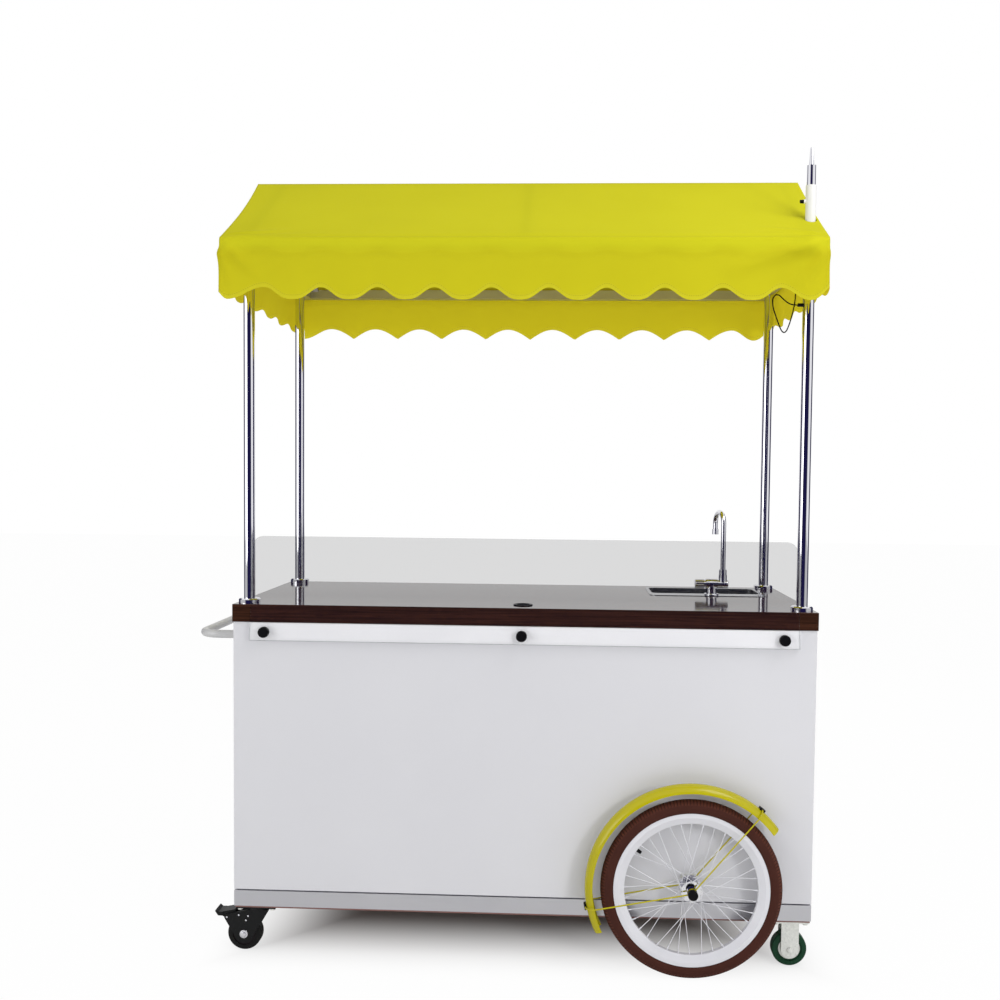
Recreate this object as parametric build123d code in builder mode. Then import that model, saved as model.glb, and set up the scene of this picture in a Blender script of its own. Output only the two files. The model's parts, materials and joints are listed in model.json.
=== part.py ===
from build123d import *
import math
import os

os.makedirs("parts", exist_ok=True)

# A wheeled food cart: a panelled cabinet on casters with two spoked wheels, a counter with a sink
# and a folding tap, a clear guard, and a fabric canopy on four posts. Sizes are in millimetres.
# +X is the cart's right end, -Y its customer side, +Z up. The origin is on the floor, under the
# middle of the cart's outline.

# Counter and cabinet
counter_length = 1670.0
counter_depth = 670.0
counter_top_z = 1030.0
counter_thick = 51.0
counter_edge_r = 2.0
counter_overhang = 3.0
panel_thick = 15.0
base_thick = 9.0
base_set_back = 12.0
base_rail_height = 50.0
base_rail_depth = 25.0
shadow_height = 4.0
shadow_depth = 8.0
bay_width = 652.0
access_width = 300.0
access_height = 340.0
access_sill = 30.0
access_rear_edge = 30.0
shelf_z = 560.0
shelf_set_back = 10.0

# Sliding doors at the back
track_width = 32.0
track_height = 14.0
groove_width = 7.0
groove_depth = 9.0
groove_pitch = 15.0
door_thick = 6.0
door_overlap = 30.0
door_gap = 0.4
pull_r = 22.0
pull_depth = 3.0
pull_inset = 60.0

# Push handle at the left end
handle_reach = 136.0
handle_z = 930.0
handle_span = 500.0
handle_tube_r = 12.0
handle_tube_wall = 1.8
handle_bend_r = 60.0
handle_flange_r = 26.0
handle_flange_thick = 4.0

# Sink, drain and water
sink_from_end = 258.0
sink_from_rear = 170.0
rim_length = 368.0
rim_width = 240.0
rim_corner_r = 22.0
rim_thick = 1.5
rim_lap = 8.0
bowl_length = 346.0
bowl_width = 160.0
bowl_depth = 130.0
bowl_corner_r = 20.0
bowl_floor_r = 8.0
bowl_shift = 22.0
sink_sheet = 1.2
drain_flange_r = 30.0
drain_flange_thick = 2.0
drain_r = 19.0
drain_wall = 3.0
drain_nut_r = 28.0
drain_nut_height = 10.0
tank_length = 300.0
tank_width = 220.0
tank_height = 320.0
tank_wall = 4.0
tank_edge_r = 25.0
tank_spacing = 20.0
neck_r = 28.0
neck_height = 18.0
cap_wall = 4.0

# Folding tap
tap_from_rim = 30.0
tap_shift = 13.0
tap_axis_height = 35.0
tap_flange_r = 23.0
tap_flange_thick = 5.0
tap_flange_edge_r = 2.5
tap_stem_r = 17.0
sleeve_half = 18.0
journal_r = 11.0
shank_r = 10.0
shank_length = 45.0
shank_nut_r = 16.0
shank_nut_height = 8.0
collar_end_r = 13.0
collar_end_length = 6.0
elbow_r = 14.0
elbow_length = 34.0
elbow_edge_r = 3.5
boss_r = 13.0
boss_height = 30.0
neck_pin_r = 6.0
neck_pin_length = 18.0
neck_collar_r = 12.0
neck_collar_height = 16.0
neck_tube_r = 8.0
neck_top_z = 1303.0
neck_bend_r = 36.0
neck_drop = 20.0
neck_turn_deg = 13.0
nozzle_r = 10.0
nozzle_length = 17.0
tap_knob_r = 14.5
tap_knob_length = 28.0
tap_knob_flutes = 12
flute_r = 2.5
tap_stem_pin_r = 4.0
tap_stem_pin_length = 5.5

# Cable grommet in the counter
grommet_from_front = 76.0
grommet_flange_r = 28.0
grommet_flange_thick = 3.0
grommet_edge_r = 1.5
grommet_sleeve_r = 24.0
grommet_bore_r = 20.0

# Guard sheet, its strip and knobs
guard_end_inset = 50.0
strip_thick = 12.0
strip_height = 51.0
sheet_thick = 4.0
sheet_height = 300.0
sheet_taper = 13.0
sheet_corner_r = 30.0
knob_end_inset = 45.0
knob_r = 15.5
knob_height = 15.0
knob_edge_r = 4.0
knob_stud_r = 4.0
knob_stud_depth = 10.0
washer_r = 11.0
washer_thick = 4.0

# Posts and canopy
post_inset = 40.0
post_r = 16.0
post_wall = 1.5
post_collar_r = 31.0
post_collar_height = 14.0
post_collar_chamfer = 3.0
eave_z = 2052.0
ridge_z = 2312.0
canopy_front_reach = 130.0
canopy_left_reach = 45.0
canopy_right_reach = 25.0
cover_thick = 2.0
cover_gap = 0.6
seam_gap = 0.3
valance_height = 165.0
scallop_pitch = 156.4
scallop_depth = 34.0
scallop_end_least = 100.0
lobe_share = 0.58
rear_lobe_share = 0.38
fold_depth_top = 0.6
fold_depth_hem = 8.0
frame_rail = 30.0
frame_wall = 2.0
rafter_width = 25.0
rafter_depth = 22.0

# Mast over the front right post, and the lamp cable
mast_sleeve_r = 14.5
mast_sleeve_top_z = 2224.0
mast_tube_r = 12.5
mast_tube_top_z = 2279.0
mast_tip_z = 2328.0
mast_tip_base_r = 7.0
mast_tip_r = 4.5
mast_hole_gap = 3.5
clamp_z = 2180.0
clamp_boss_r = 6.0
clamp_boss_length = 5.0
clamp_stud_r = 2.5
clamp_head_r = 5.0
clamp_head_length = 10.0
clamp_edge_r = 1.2
cable_r = 1.75
cable_last_run = 22.0
bend_share = 0.45
gland_r = 5.0
gland_length = 14.0
gland_z = 1893.0
rail_gland_length = 8.0
rail_gland_step = 26.0

# Big wheels
wheel_from_end = 348.0
wheel_gap = 56.0
tyre_r = 254.0
tyre_section_r = 22.0
tyre_wall = 4.0
bead_depth = 8.0
bead_thick = 3.4
valve_r = 3.5
valve_inner_r = 172.0
valve_deg = 145.0
rim_edge_r = 218.0
rim_inner_r = 187.0
rim_half_width = 16.5
rim_wall = 2.5
rim_nose_half = 7.0
rim_shoulder_r = 206.0
spoke_count = 36
spoke_crosses = 3
spoke_r = 1.0
spoke_hub_r = 26.0
spoke_rim_y = 2.0
spoke_gap = 1.3
spoke_head = 1.0
nipple_r = 2.0
nipple_length = 14.0
nipple_proud = 1.0
hub_half = 34.0
hub_shell_r = 16.0
hub_end_r = 14.0
hub_flange_r = 30.0
hub_flange_half = 1.5
hub_flange_y = 24.0
axle_r = 6.0
axle_shoulder_r = 11.0
axle_plate = 46.0
axle_plate_thick = 5.0
axle_end = 3.0
axle_nut_across = 19.0
axle_nut_thick = 8.0
axle_cap_r = 14.0
axle_cap_wall = 2.0
hub_end_play = 0.5

# Mudguards and their wire stays
guard_rise = 15.0
guard_section_r = 29.0
guard_wall = 1.5
guard_half_deg = 75.0
guard_start_deg = 36.5
guard_arc_deg = 169.5
stay_angles_deg = (50.0, 191.0)
stay_r = 2.0
stay_start_r = 9.0
stay_bend_r = 30.0
eyelet_r = 11.0
eyelet_thick = 4.0
clip_height = 6.5
clip_half_deg = 17.0
clip_arc_deg = 3.2

# Casters
caster_height = 137.0
caster_wheel_r = 50.0
caster_wheel_half = 16.0
caster_hub_half = 18.0
caster_hub_r = 14.0
caster_tread_edge_r = 5.0
caster_recess_r = 36.0
caster_recess = 3.0
caster_axle_r = 5.0
caster_from_front = 50.0
caster_plate_thick = 4.0
caster_plate_width = 76.0
swivel_plate_length = 116.0
swivel_from_end = 60.0
swivel_trail = 40.0
race_r = 30.0
race_height = 9.0
kingpin_r = 7.0
kingpin_head_r = 12.0
kingpin_head_height = 4.0
crown_half_length = 30.0
crown_thick = 6.0
fork_leg = 4.0
fork_side_gap = 2.0
fork_boss_r = 26.0
pedal_pivot_back = 50.0
pedal_pivot_z = 100.0
pedal_pin_r = 3.0
pedal_boss_r = 8.0
pedal_arm = ((24.0, 8.0), (24.0, 22.0), (-16.0, 14.5), (-16.0, 2.5), (0.0, -7.0))
pedal_tread = ((-12.0, 2.5), (-12.0, 15.0), (-25.0, 14.5), (-33.5, 22.0), (-36.0, 16.0), (-27.0, 3.0))
tread_half_width = 22.0
tread_edge_r = 2.0
rigid_plate_length = 102.0
rigid_from_end = 52.0
rigid_leg_half = 25.0
bolt_r = 4.0
bolt_head_r = 7.5
bolt_head_height = 5.0
bolt_inset = 10.0

# Clearances
running_gap = 0.05
slip_gap = 0.2
face_gap = 0.3

# Places worked out from the sizes above
cab_x = handle_reach / 2
cab_half_x = counter_length / 2 - counter_overhang
cab_half_y = counter_depth / 2 - counter_overhang
cab_left = cab_x - cab_half_x
cab_right = cab_x + cab_half_x
inner_left = cab_left + panel_thick
inner_right = cab_right - panel_thick
inner_y = cab_half_y - panel_thick
base_top_z = caster_height + base_thick
rail_top_z = base_top_z + base_rail_height
counter_under_z = counter_top_z - counter_thick
partition_right = inner_right - bay_width
partition_left = partition_right - panel_thick
SIDES = {"front": -1, "rear": 1}


def block(x_from, x_to, y_from, y_to, z_from, z_to, mode=Mode.ADD):
    """A rectangular block between two corners."""
    with Locations(((x_from + x_to) / 2, (y_from + y_to) / 2, (z_from + z_to) / 2)):
        Box(abs(x_to - x_from), abs(y_to - y_from), abs(z_to - z_from), mode=mode)


def rod_x(radius, x_from, x_to, y, z, mode=Mode.ADD):
    """A round bar along X."""
    with Locations(((x_from + x_to) / 2, y, z)):
        Cylinder(radius, abs(x_to - x_from), rotation=(0, 90, 0), mode=mode)


def rod_y(radius, x, y_from, y_to, z, mode=Mode.ADD):
    """A round bar along Y."""
    with Locations((x, (y_from + y_to) / 2, z)):
        Cylinder(radius, abs(y_to - y_from), rotation=(90, 0, 0), mode=mode)


def rod_z(radius, x, y, z_from, z_to, mode=Mode.ADD):
    """A round bar along Z."""
    with Locations((x, y, (z_from + z_to) / 2)):
        Cylinder(radius, abs(z_to - z_from), mode=mode)


# Caster places, and the bolts that hold each plate to the base board
caster_y = cab_half_y - caster_from_front
swivel_x = cab_left + swivel_from_end
rigid_x = cab_right - rigid_from_end
plate_under_z = caster_height - caster_plate_thick
bolt_places = []
for plate_x, plate_length in ((swivel_x, swivel_plate_length), (rigid_x, rigid_plate_length)):
    for side in SIDES.values():
        for step_x in (-1, 1):
            for step_y in (-1, 1):
                bolt_x = plate_x + step_x * (plate_length / 2 - bolt_inset)
                bolt_y = side * caster_y + step_y * (caster_plate_width / 2 - bolt_inset)
                bolt_places.append((bolt_x, bolt_y))


def bolt_holes():
    """Clearance holes for the caster bolts through whatever is at that height."""
    for bolt_x, bolt_y in bolt_places:
        rod_z(bolt_r + slip_gap, bolt_x, bolt_y, plate_under_z, base_top_z, mode=Mode.SUBTRACT)


# Base board, set back under the front and rear rails, and the rails around it
with BuildPart() as base_board:
    block(cab_left, cab_right, -cab_half_y + base_set_back, cab_half_y - base_set_back, caster_height,
          base_top_z)
    bolt_holes()
base_board.part.label = "base_board"
export_step(base_board.part, "parts/base_board.step")

rail_inner_y = cab_half_y - base_rail_depth
with BuildPart() as base_rails:
    for side in SIDES.values():
        block(cab_left, cab_right, side * rail_inner_y, side * cab_half_y, base_top_z,
              rail_top_z - shadow_height)
        block(cab_left + shadow_depth, cab_right - shadow_depth, side * rail_inner_y,
              side * (cab_half_y - shadow_depth), rail_top_z - shadow_height, rail_top_z)
    for end, inward in ((cab_left, 1), (cab_right, -1)):
        block(end, end + inward * base_rail_depth, -rail_inner_y + face_gap, rail_inner_y - face_gap,
              base_top_z, rail_top_z - shadow_height)
        block(end + inward * shadow_depth, end + inward * base_rail_depth, -rail_inner_y + face_gap,
              rail_inner_y - face_gap, rail_top_z - shadow_height, rail_top_z)
base_rails.part.label = "base_rails"
export_step(base_rails.part, "parts/base_rails.step")

# Cabinet panels, partition and shelf
with BuildPart() as front_panel:
    block(cab_left, cab_right, -cab_half_y, -inner_y, rail_top_z, counter_under_z)
front_panel.part.label = "front_panel"
export_step(front_panel.part, "parts/front_panel.step")

with BuildPart() as end_panels:
    block(cab_left, inner_left, -inner_y, cab_half_y, rail_top_z, counter_under_z)
    block(inner_right, cab_right, -inner_y, inner_y, rail_top_z, counter_under_z)
end_panels.part.label = "end_panels"
export_step(end_panels.part, "parts/end_panels.step")

with BuildPart() as rear_panel:
    block(partition_left, cab_right, inner_y, cab_half_y, rail_top_z, counter_under_z)
rear_panel.part.label = "rear_panel"
export_step(rear_panel.part, "parts/rear_panel.step")

access_from_y = rail_inner_y - access_rear_edge - access_width
with BuildPart() as partition:
    block(partition_left, partition_right, -rail_inner_y, rail_inner_y, base_top_z, counter_under_z)
    block(partition_left, partition_right, access_from_y, access_from_y + access_width,
          base_top_z + access_sill, base_top_z + access_sill + access_height, mode=Mode.SUBTRACT)
partition.part.label = "partition"
export_step(partition.part, "parts/partition.step")

track_inner_y = cab_half_y - track_width
with BuildPart() as storage_shelf:
    block(inner_left, partition_left, -inner_y, track_inner_y - shelf_set_back, shelf_z,
          shelf_z + panel_thick)
storage_shelf.part.label = "storage_shelf"
export_step(storage_shelf.part, "parts/storage_shelf.step")

# Door tracks and the two sliding doors
track_y = cab_half_y - track_width / 2
groove_places = {"left": track_y + groove_pitch / 2, "right": track_y - groove_pitch / 2}
groove_floor_z = rail_top_z + track_height - groove_depth
groove_roof_z = counter_under_z - track_height + groove_depth
with BuildPart() as door_tracks:
    block(inner_left, partition_left, track_inner_y, cab_half_y, rail_top_z, rail_top_z + track_height)
    block(inner_left, partition_left, track_inner_y, cab_half_y, counter_under_z - track_height,
          counter_under_z)
    for groove_y in groove_places.values():
        block(inner_left, partition_left, groove_y - groove_width / 2, groove_y + groove_width / 2,
              groove_floor_z, groove_roof_z, mode=Mode.SUBTRACT)
door_tracks.part.label = "door_tracks"
export_step(door_tracks.part, "parts/door_tracks.step")

opening_width = partition_left - inner_left
door_width = opening_width / 2 + door_overlap / 2
door_from_x = {"left": inner_left + door_gap, "right": partition_left - door_gap - door_width}
pull_x = {"left": inner_left + pull_inset, "right": partition_left - pull_inset}
pull_z = (rail_top_z + counter_under_z) / 2
for name, groove_y in groove_places.items():
    with BuildPart() as door:
        block(door_from_x[name], door_from_x[name] + door_width, groove_y - door_thick / 2,
              groove_y + door_thick / 2, groove_floor_z + door_gap, groove_roof_z - door_gap)
        rod_y(pull_r, pull_x[name], groove_y + door_thick / 2 - pull_depth, groove_y + door_thick / 2,
              pull_z, mode=Mode.SUBTRACT)
    door.part.label = f"{name}_door"
    export_step(door.part, f"parts/{name}_door.step")

# Counter top, glued up from boards that meet along the sink's cut-out, and bored for the grommet
sink_x = cab_x + counter_length / 2 - sink_from_end
sink_y = counter_depth / 2 - sink_from_rear
bowl_y = sink_y + bowl_shift
cutout_front_y = sink_y - rim_width / 2 + rim_lap
cutout_rear_y = sink_y + rim_width / 2 - rim_lap
grommet_y = -counter_depth / 2 + grommet_from_front
with BuildPart() as counter_top:
    block(cab_x - counter_length / 2, cab_x + counter_length / 2, -counter_depth / 2, counter_depth / 2,
          counter_under_z, counter_top_z)
    fillet(counter_top.edges().filter_by(Axis.Z), counter_edge_r)
    fillet(counter_top.faces().sort_by(Axis.Z)[-1].edges(), counter_edge_r)
    block(sink_x - rim_length / 2 + rim_lap, sink_x + rim_length / 2 - rim_lap, cutout_front_y, cutout_rear_y,
          counter_under_z, counter_top_z, mode=Mode.SUBTRACT)
    rod_z(grommet_sleeve_r + slip_gap, cab_x, grommet_y, counter_under_z, counter_top_z, mode=Mode.SUBTRACT)
    for joint_y in (cutout_front_y, cutout_rear_y):
        split(bisect_by=Plane.XZ.offset(-joint_y), keep=Keep.BOTH)
counter_top.part.label = "counter_top"
export_step(counter_top.part, "parts/counter_top.step")

with BuildPart() as cable_grommet:
    rod_z(grommet_flange_r, cab_x, grommet_y, counter_top_z, counter_top_z + grommet_flange_thick)
    fillet(cable_grommet.edges().sort_by(Axis.Z)[-1], grommet_edge_r)
    rod_z(grommet_sleeve_r, cab_x, grommet_y, counter_under_z, counter_top_z)
    rod_z(grommet_bore_r, cab_x, grommet_y, counter_under_z, counter_top_z + grommet_flange_thick,
          mode=Mode.SUBTRACT)
cable_grommet.part.label = "cable_grommet"
export_step(cable_grommet.part, "parts/cable_grommet.step")

# Sink bowl with its rim and tap deck
tap_x = sink_x + tap_shift
tap_y = sink_y - rim_width / 2 + tap_from_rim
rim_top_z = counter_top_z + rim_thick
bowl_under_z = counter_top_z - bowl_depth
bowl_floor_z = bowl_under_z + sink_sheet
with BuildPart() as bowl_space:
    with BuildSketch(Plane.XY.offset(bowl_floor_z)):
        with Locations((sink_x, bowl_y)):
            RectangleRounded(bowl_length, bowl_width, bowl_corner_r)
    extrude(amount=rim_top_z - bowl_floor_z)
    fillet(bowl_space.faces().sort_by(Axis.Z)[0].edges(), bowl_floor_r)

with BuildPart() as sink_bowl:
    with BuildSketch(Plane.XY.offset(bowl_under_z)):
        with Locations((sink_x, bowl_y)):
            RectangleRounded(bowl_length + 2 * sink_sheet, bowl_width + 2 * sink_sheet,
                             bowl_corner_r + sink_sheet)
    extrude(amount=bowl_depth)
    fillet(sink_bowl.faces().sort_by(Axis.Z)[0].edges(), bowl_floor_r + sink_sheet)
    with BuildSketch(Plane.XY.offset(counter_top_z)):
        with Locations((sink_x, sink_y)):
            RectangleRounded(rim_length, rim_width, rim_corner_r)
    extrude(amount=rim_thick)
    add(bowl_space.part, mode=Mode.SUBTRACT)
    rod_z(drain_r + slip_gap, sink_x, bowl_y, bowl_under_z, bowl_floor_z, mode=Mode.SUBTRACT)
    rod_z(shank_r + slip_gap, tap_x, tap_y, counter_top_z, rim_top_z, mode=Mode.SUBTRACT)
sink_bowl.part.label = "sink_bowl"
export_step(sink_bowl.part, "parts/sink_bowl.step")

# Water tanks with their caps, and the drain that leads from the sink down into the waste tank
tank_top_z = base_top_z + tank_height
neck_mouth_z = tank_top_z + neck_height
cap_under_z = neck_mouth_z + face_gap
cap_bore_r = neck_r + slip_gap
tank_places = {"waste": bowl_y, "fresh": bowl_y - tank_width - tank_spacing}
cap_hole_r = {"waste": drain_r + slip_gap, "fresh": 0.0}
with BuildPart() as water_tanks:
    for tank_y in tank_places.values():
        block(sink_x - tank_length / 2, sink_x + tank_length / 2, tank_y - tank_width / 2,
              tank_y + tank_width / 2,
              base_top_z, tank_top_z)
    fillet(water_tanks.edges().filter_by(Axis.Z), tank_edge_r)
    fillet(water_tanks.faces().filter_by(Axis.Z).group_by(Axis.Z)[-1].edges(), tank_wall)
    for tank_y in tank_places.values():
        rod_z(neck_r, sink_x, tank_y, tank_top_z, neck_mouth_z)
        with BuildSketch(Plane.XY.offset(base_top_z + tank_wall)):
            with Locations((sink_x, tank_y)):
                RectangleRounded(tank_length - 2 * tank_wall, tank_width - 2 * tank_wall,
                                 tank_edge_r - tank_wall)
        extrude(amount=tank_height - 2 * tank_wall, mode=Mode.SUBTRACT)
        rod_z(neck_r - tank_wall, sink_x, tank_y, tank_top_z - tank_wall, neck_mouth_z, mode=Mode.SUBTRACT)
    for name, tank_y in tank_places.items():
        with BuildSketch(Plane.XZ.offset(-tank_y)):
            with BuildLine():
                Polyline((sink_x + cap_hole_r[name], cap_under_z), (sink_x + cap_bore_r, cap_under_z),
                         (sink_x + cap_bore_r, tank_top_z + face_gap),
                         (sink_x + cap_bore_r + cap_wall, tank_top_z + face_gap),
                         (sink_x + cap_bore_r + cap_wall, cap_under_z + cap_wall),
                         (sink_x + cap_hole_r[name], cap_under_z + cap_wall), close=True)
            make_face()
        revolve(axis=Axis((sink_x, tank_y, 0), (0, 0, 1)))
water_tanks.part.label = "water_tanks"
export_step(water_tanks.part, "parts/water_tanks.step")

drain_top_z = bowl_floor_z + drain_flange_thick
with BuildPart() as sink_drain:
    rod_z(drain_flange_r, sink_x, bowl_y, bowl_floor_z, drain_top_z)
    rod_z(drain_nut_r, sink_x, bowl_y, bowl_under_z - drain_nut_height, bowl_under_z)
    rod_z(drain_r, sink_x, bowl_y, tank_top_z, bowl_floor_z)
    rod_z(drain_r - drain_wall, sink_x, bowl_y, tank_top_z, drain_top_z, mode=Mode.SUBTRACT)
sink_drain.part.label = "sink_drain"
export_step(sink_drain.part, "parts/sink_drain.step")

# Folding tap: the base's sleeve carries the barrel, the barrel carries the neck and the hand knob
tap_axis_z = rim_top_z + tap_axis_height
sleeve_left = tap_x - sleeve_half
sleeve_right = tap_x + sleeve_half
with BuildPart() as faucet_base:
    rod_z(tap_flange_r, tap_x, tap_y, rim_top_z, rim_top_z + tap_flange_thick)
    fillet(faucet_base.edges().sort_by(Axis.Z)[-1], tap_flange_edge_r)
    rod_z(tap_stem_r, tap_x, tap_y, rim_top_z, tap_axis_z)
    rod_x(tap_stem_r, sleeve_left, sleeve_right, tap_y, tap_axis_z)
    rod_z(shank_r, tap_x, tap_y, rim_top_z - shank_length, rim_top_z)
    rod_z(shank_nut_r, tap_x, tap_y, counter_top_z - shank_nut_height, counter_top_z)
    rod_x(journal_r + running_gap, sleeve_left, sleeve_right, tap_y, tap_axis_z, mode=Mode.SUBTRACT)
faucet_base.part.label = "faucet_base"
export_step(faucet_base.part, "parts/faucet_base.step")

barrel_left = sleeve_left - face_gap - collar_end_length
elbow_left = sleeve_right + face_gap
elbow_right = elbow_left + elbow_length
neck_x = (elbow_left + elbow_right) / 2
boss_top_z = tap_axis_z + boss_height
with BuildPart() as faucet_barrel:
    rod_x(journal_r, barrel_left, elbow_left, tap_y, tap_axis_z)
    rod_x(collar_end_r, barrel_left, barrel_left + collar_end_length, tap_y, tap_axis_z)
    rod_x(elbow_r, elbow_left, elbow_right, tap_y, tap_axis_z)
    fillet(faucet_barrel.edges().sort_by(Axis.X)[-1], elbow_edge_r)
    rod_z(boss_r, neck_x, tap_y, tap_axis_z, boss_top_z)
    rod_z(neck_pin_r + running_gap, neck_x, tap_y, boss_top_z - neck_pin_length - face_gap, boss_top_z,
          mode=Mode.SUBTRACT)
    rod_x(tap_stem_pin_r + running_gap, barrel_left, barrel_left + tap_stem_pin_length + face_gap, tap_y,
          tap_axis_z, mode=Mode.SUBTRACT)
faucet_barrel.part.label = "faucet_barrel"
export_step(faucet_barrel.part, "parts/faucet_barrel.step")

neck_turn = math.radians(neck_turn_deg)
neck_plane = Plane(origin=(neck_x, tap_y, 0), x_dir=(-math.sin(neck_turn), math.cos(neck_turn), 0),
                   z_dir=(math.cos(neck_turn), math.sin(neck_turn), 0))
neck_from_z = boss_top_z + face_gap
neck_bend_z = neck_top_z - neck_tube_r - neck_bend_r
nozzle_top_z = neck_bend_z - neck_drop
nozzle_place = neck_plane.from_local_coords(Vector(2 * neck_bend_r, 0, 0))
with BuildPart() as faucet_spout:
    with BuildLine(neck_plane) as neck_path:
        Line((0, neck_from_z), (0, neck_bend_z))
        ThreePointArc((0, neck_bend_z), (neck_bend_r, neck_bend_z + neck_bend_r),
                      (2 * neck_bend_r, neck_bend_z))
        Line((2 * neck_bend_r, neck_bend_z), (2 * neck_bend_r, nozzle_top_z))
    with BuildSketch(Plane.XY.offset(neck_from_z)):
        with Locations((neck_x, tap_y)):
            Circle(neck_tube_r)
    sweep(path=neck_path.line)
    rod_z(neck_collar_r, neck_x, tap_y, neck_from_z, neck_from_z + neck_collar_height)
    rod_z(neck_pin_r, neck_x, tap_y, boss_top_z - neck_pin_length, neck_from_z)
    rod_z(nozzle_r, nozzle_place.X, nozzle_place.Y, nozzle_top_z - nozzle_length, nozzle_top_z)
faucet_spout.part.label = "faucet_spout"
export_step(faucet_spout.part, "parts/faucet_spout.step")

tap_knob_right = barrel_left - face_gap
tap_knob_left = tap_knob_right - tap_knob_length
with BuildPart() as faucet_knob:
    rod_x(tap_knob_r, tap_knob_left, tap_knob_right, tap_y, tap_axis_z)
    fillet(faucet_knob.edges().sort_by(Axis.X)[0], flute_r)
    for flute in range(tap_knob_flutes):
        turn = math.radians(360 * flute / tap_knob_flutes)
        rod_x(flute_r, tap_knob_left, tap_knob_right, tap_y + (tap_knob_r + flute_r / 2) * math.cos(turn),
              tap_axis_z + (tap_knob_r + flute_r / 2) * math.sin(turn), mode=Mode.SUBTRACT)
    rod_x(tap_stem_pin_r, tap_knob_right, barrel_left + tap_stem_pin_length, tap_y, tap_axis_z)
faucet_knob.part.label = "faucet_knob"
export_step(faucet_knob.part, "parts/faucet_knob.step")

# Guard strip on the front panel, the clear sheet before it, and the knobs that clamp the sheet
strip_left = cab_left + guard_end_inset
strip_right = cab_right - guard_end_inset
strip_top_z = counter_under_z - face_gap
strip_bottom_z = strip_top_z - strip_height
strip_front_y = -cab_half_y - strip_thick
sheet_front_y = strip_front_y - sheet_thick
knob_z = (strip_top_z + strip_bottom_z) / 2
knob_places = {"left": strip_left + knob_end_inset, "middle": cab_x, "right": strip_right - knob_end_inset}
stud_tip_y = strip_front_y + knob_stud_depth
with BuildPart() as guard_strip:
    block(strip_left, strip_right, strip_front_y, -cab_half_y, strip_bottom_z, strip_top_z)
    for knob_x in knob_places.values():
        rod_y(knob_stud_r + running_gap, knob_x, strip_front_y, stud_tip_y + face_gap, knob_z,
              mode=Mode.SUBTRACT)
guard_strip.part.label = "guard_strip"
export_step(guard_strip.part, "parts/guard_strip.step")

with BuildPart() as guard_sheet_part:
    with BuildSketch(Plane.XZ.offset(-strip_front_y)) as sheet_outline:
        with BuildLine():
            Polyline((strip_left, strip_bottom_z), (strip_right, strip_bottom_z),
                     (strip_right - sheet_taper, strip_bottom_z + sheet_height),
                     (strip_left + sheet_taper, strip_bottom_z + sheet_height), close=True)
        make_face()
        fillet(sheet_outline.vertices().group_by(Axis.Y)[-1], sheet_corner_r)
    extrude(amount=sheet_thick)
    for knob_x in knob_places.values():
        rod_y(knob_stud_r + slip_gap, knob_x, strip_front_y, sheet_front_y, knob_z, mode=Mode.SUBTRACT)
guard_sheet_part.part.label = "guard_sheet"
export_step(guard_sheet_part.part, "parts/guard_sheet.step")

washer_front_y = sheet_front_y - washer_thick
with BuildPart() as guard_washers:
    for knob_x in knob_places.values():
        rod_y(washer_r, knob_x, sheet_front_y, washer_front_y, knob_z)
        rod_y(knob_stud_r + slip_gap, knob_x, sheet_front_y, washer_front_y, knob_z, mode=Mode.SUBTRACT)
guard_washers.part.label = "guard_washers"
export_step(guard_washers.part, "parts/guard_washers.step")

knob_back_y = washer_front_y - face_gap
for name, knob_x in knob_places.items():
    with BuildPart() as guard_knob:
        rod_y(knob_r, knob_x, knob_back_y, knob_back_y - knob_height, knob_z)
        fillet(guard_knob.edges().sort_by(Axis.Y)[0], knob_edge_r)
        rod_y(knob_stud_r, knob_x, knob_back_y, stud_tip_y, knob_z)
    guard_knob.part.label = f"{name}_guard_knob"
    export_step(guard_knob.part, f"parts/{name}_guard_knob.step")

# Canopy outline: a ridged roof whose eaves stand out from the posts
post_x = counter_length / 2 - post_inset
post_y = counter_depth / 2 - post_inset
canopy_half_y = post_y + canopy_front_reach
canopy_left = cab_x - post_x - canopy_left_reach
canopy_right = cab_x + post_x + canopy_right_reach
canopy_mid_x = (canopy_left + canopy_right) / 2
roof_slope = (ridge_z - eave_z) / canopy_half_y
slope_stretch = math.hypot(1, roof_slope)


def roof_under_z(y, gap=0.0):
    """Height of the cover's underside at a distance y from the ridge, less a gap square to it."""
    return eave_z + (canopy_half_y - abs(y)) * roof_slope - (cover_thick + gap) * slope_stretch


# Posts, collars and the frame under the cover
frame_half_y = canopy_half_y - cover_thick - cover_gap
frame_top_z = roof_under_z(frame_half_y, cover_gap)
frame_under_z = frame_top_z - frame_rail
frame_inner_y = frame_half_y - frame_rail
frame_half_x = post_x + frame_rail / 2
post_places = [(cab_x + sx * post_x, sy * post_y) for sx in (-1, 1) for sy in (-1, 1)]
with BuildPart() as canopy_posts:
    for x, y in post_places:
        rod_z(post_r, x, y, counter_top_z, frame_under_z)
        rod_z(post_r - post_wall, x, y, counter_top_z, frame_under_z, mode=Mode.SUBTRACT)
canopy_posts.part.label = "canopy_posts"
export_step(canopy_posts.part, "parts/canopy_posts.step")

with BuildPart() as post_collars:
    for x, y in post_places:
        rod_z(post_collar_r, x, y, counter_top_z, counter_top_z + post_collar_height)
    chamfer(post_collars.edges().group_by(Axis.Z)[-1], post_collar_chamfer)
    for x, y in post_places:
        rod_z(post_r + slip_gap, x, y, counter_top_z, counter_top_z + post_collar_height,
              mode=Mode.SUBTRACT)
post_collars.part.label = "post_collars"
export_step(post_collars.part, "parts/post_collars.step")

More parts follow.
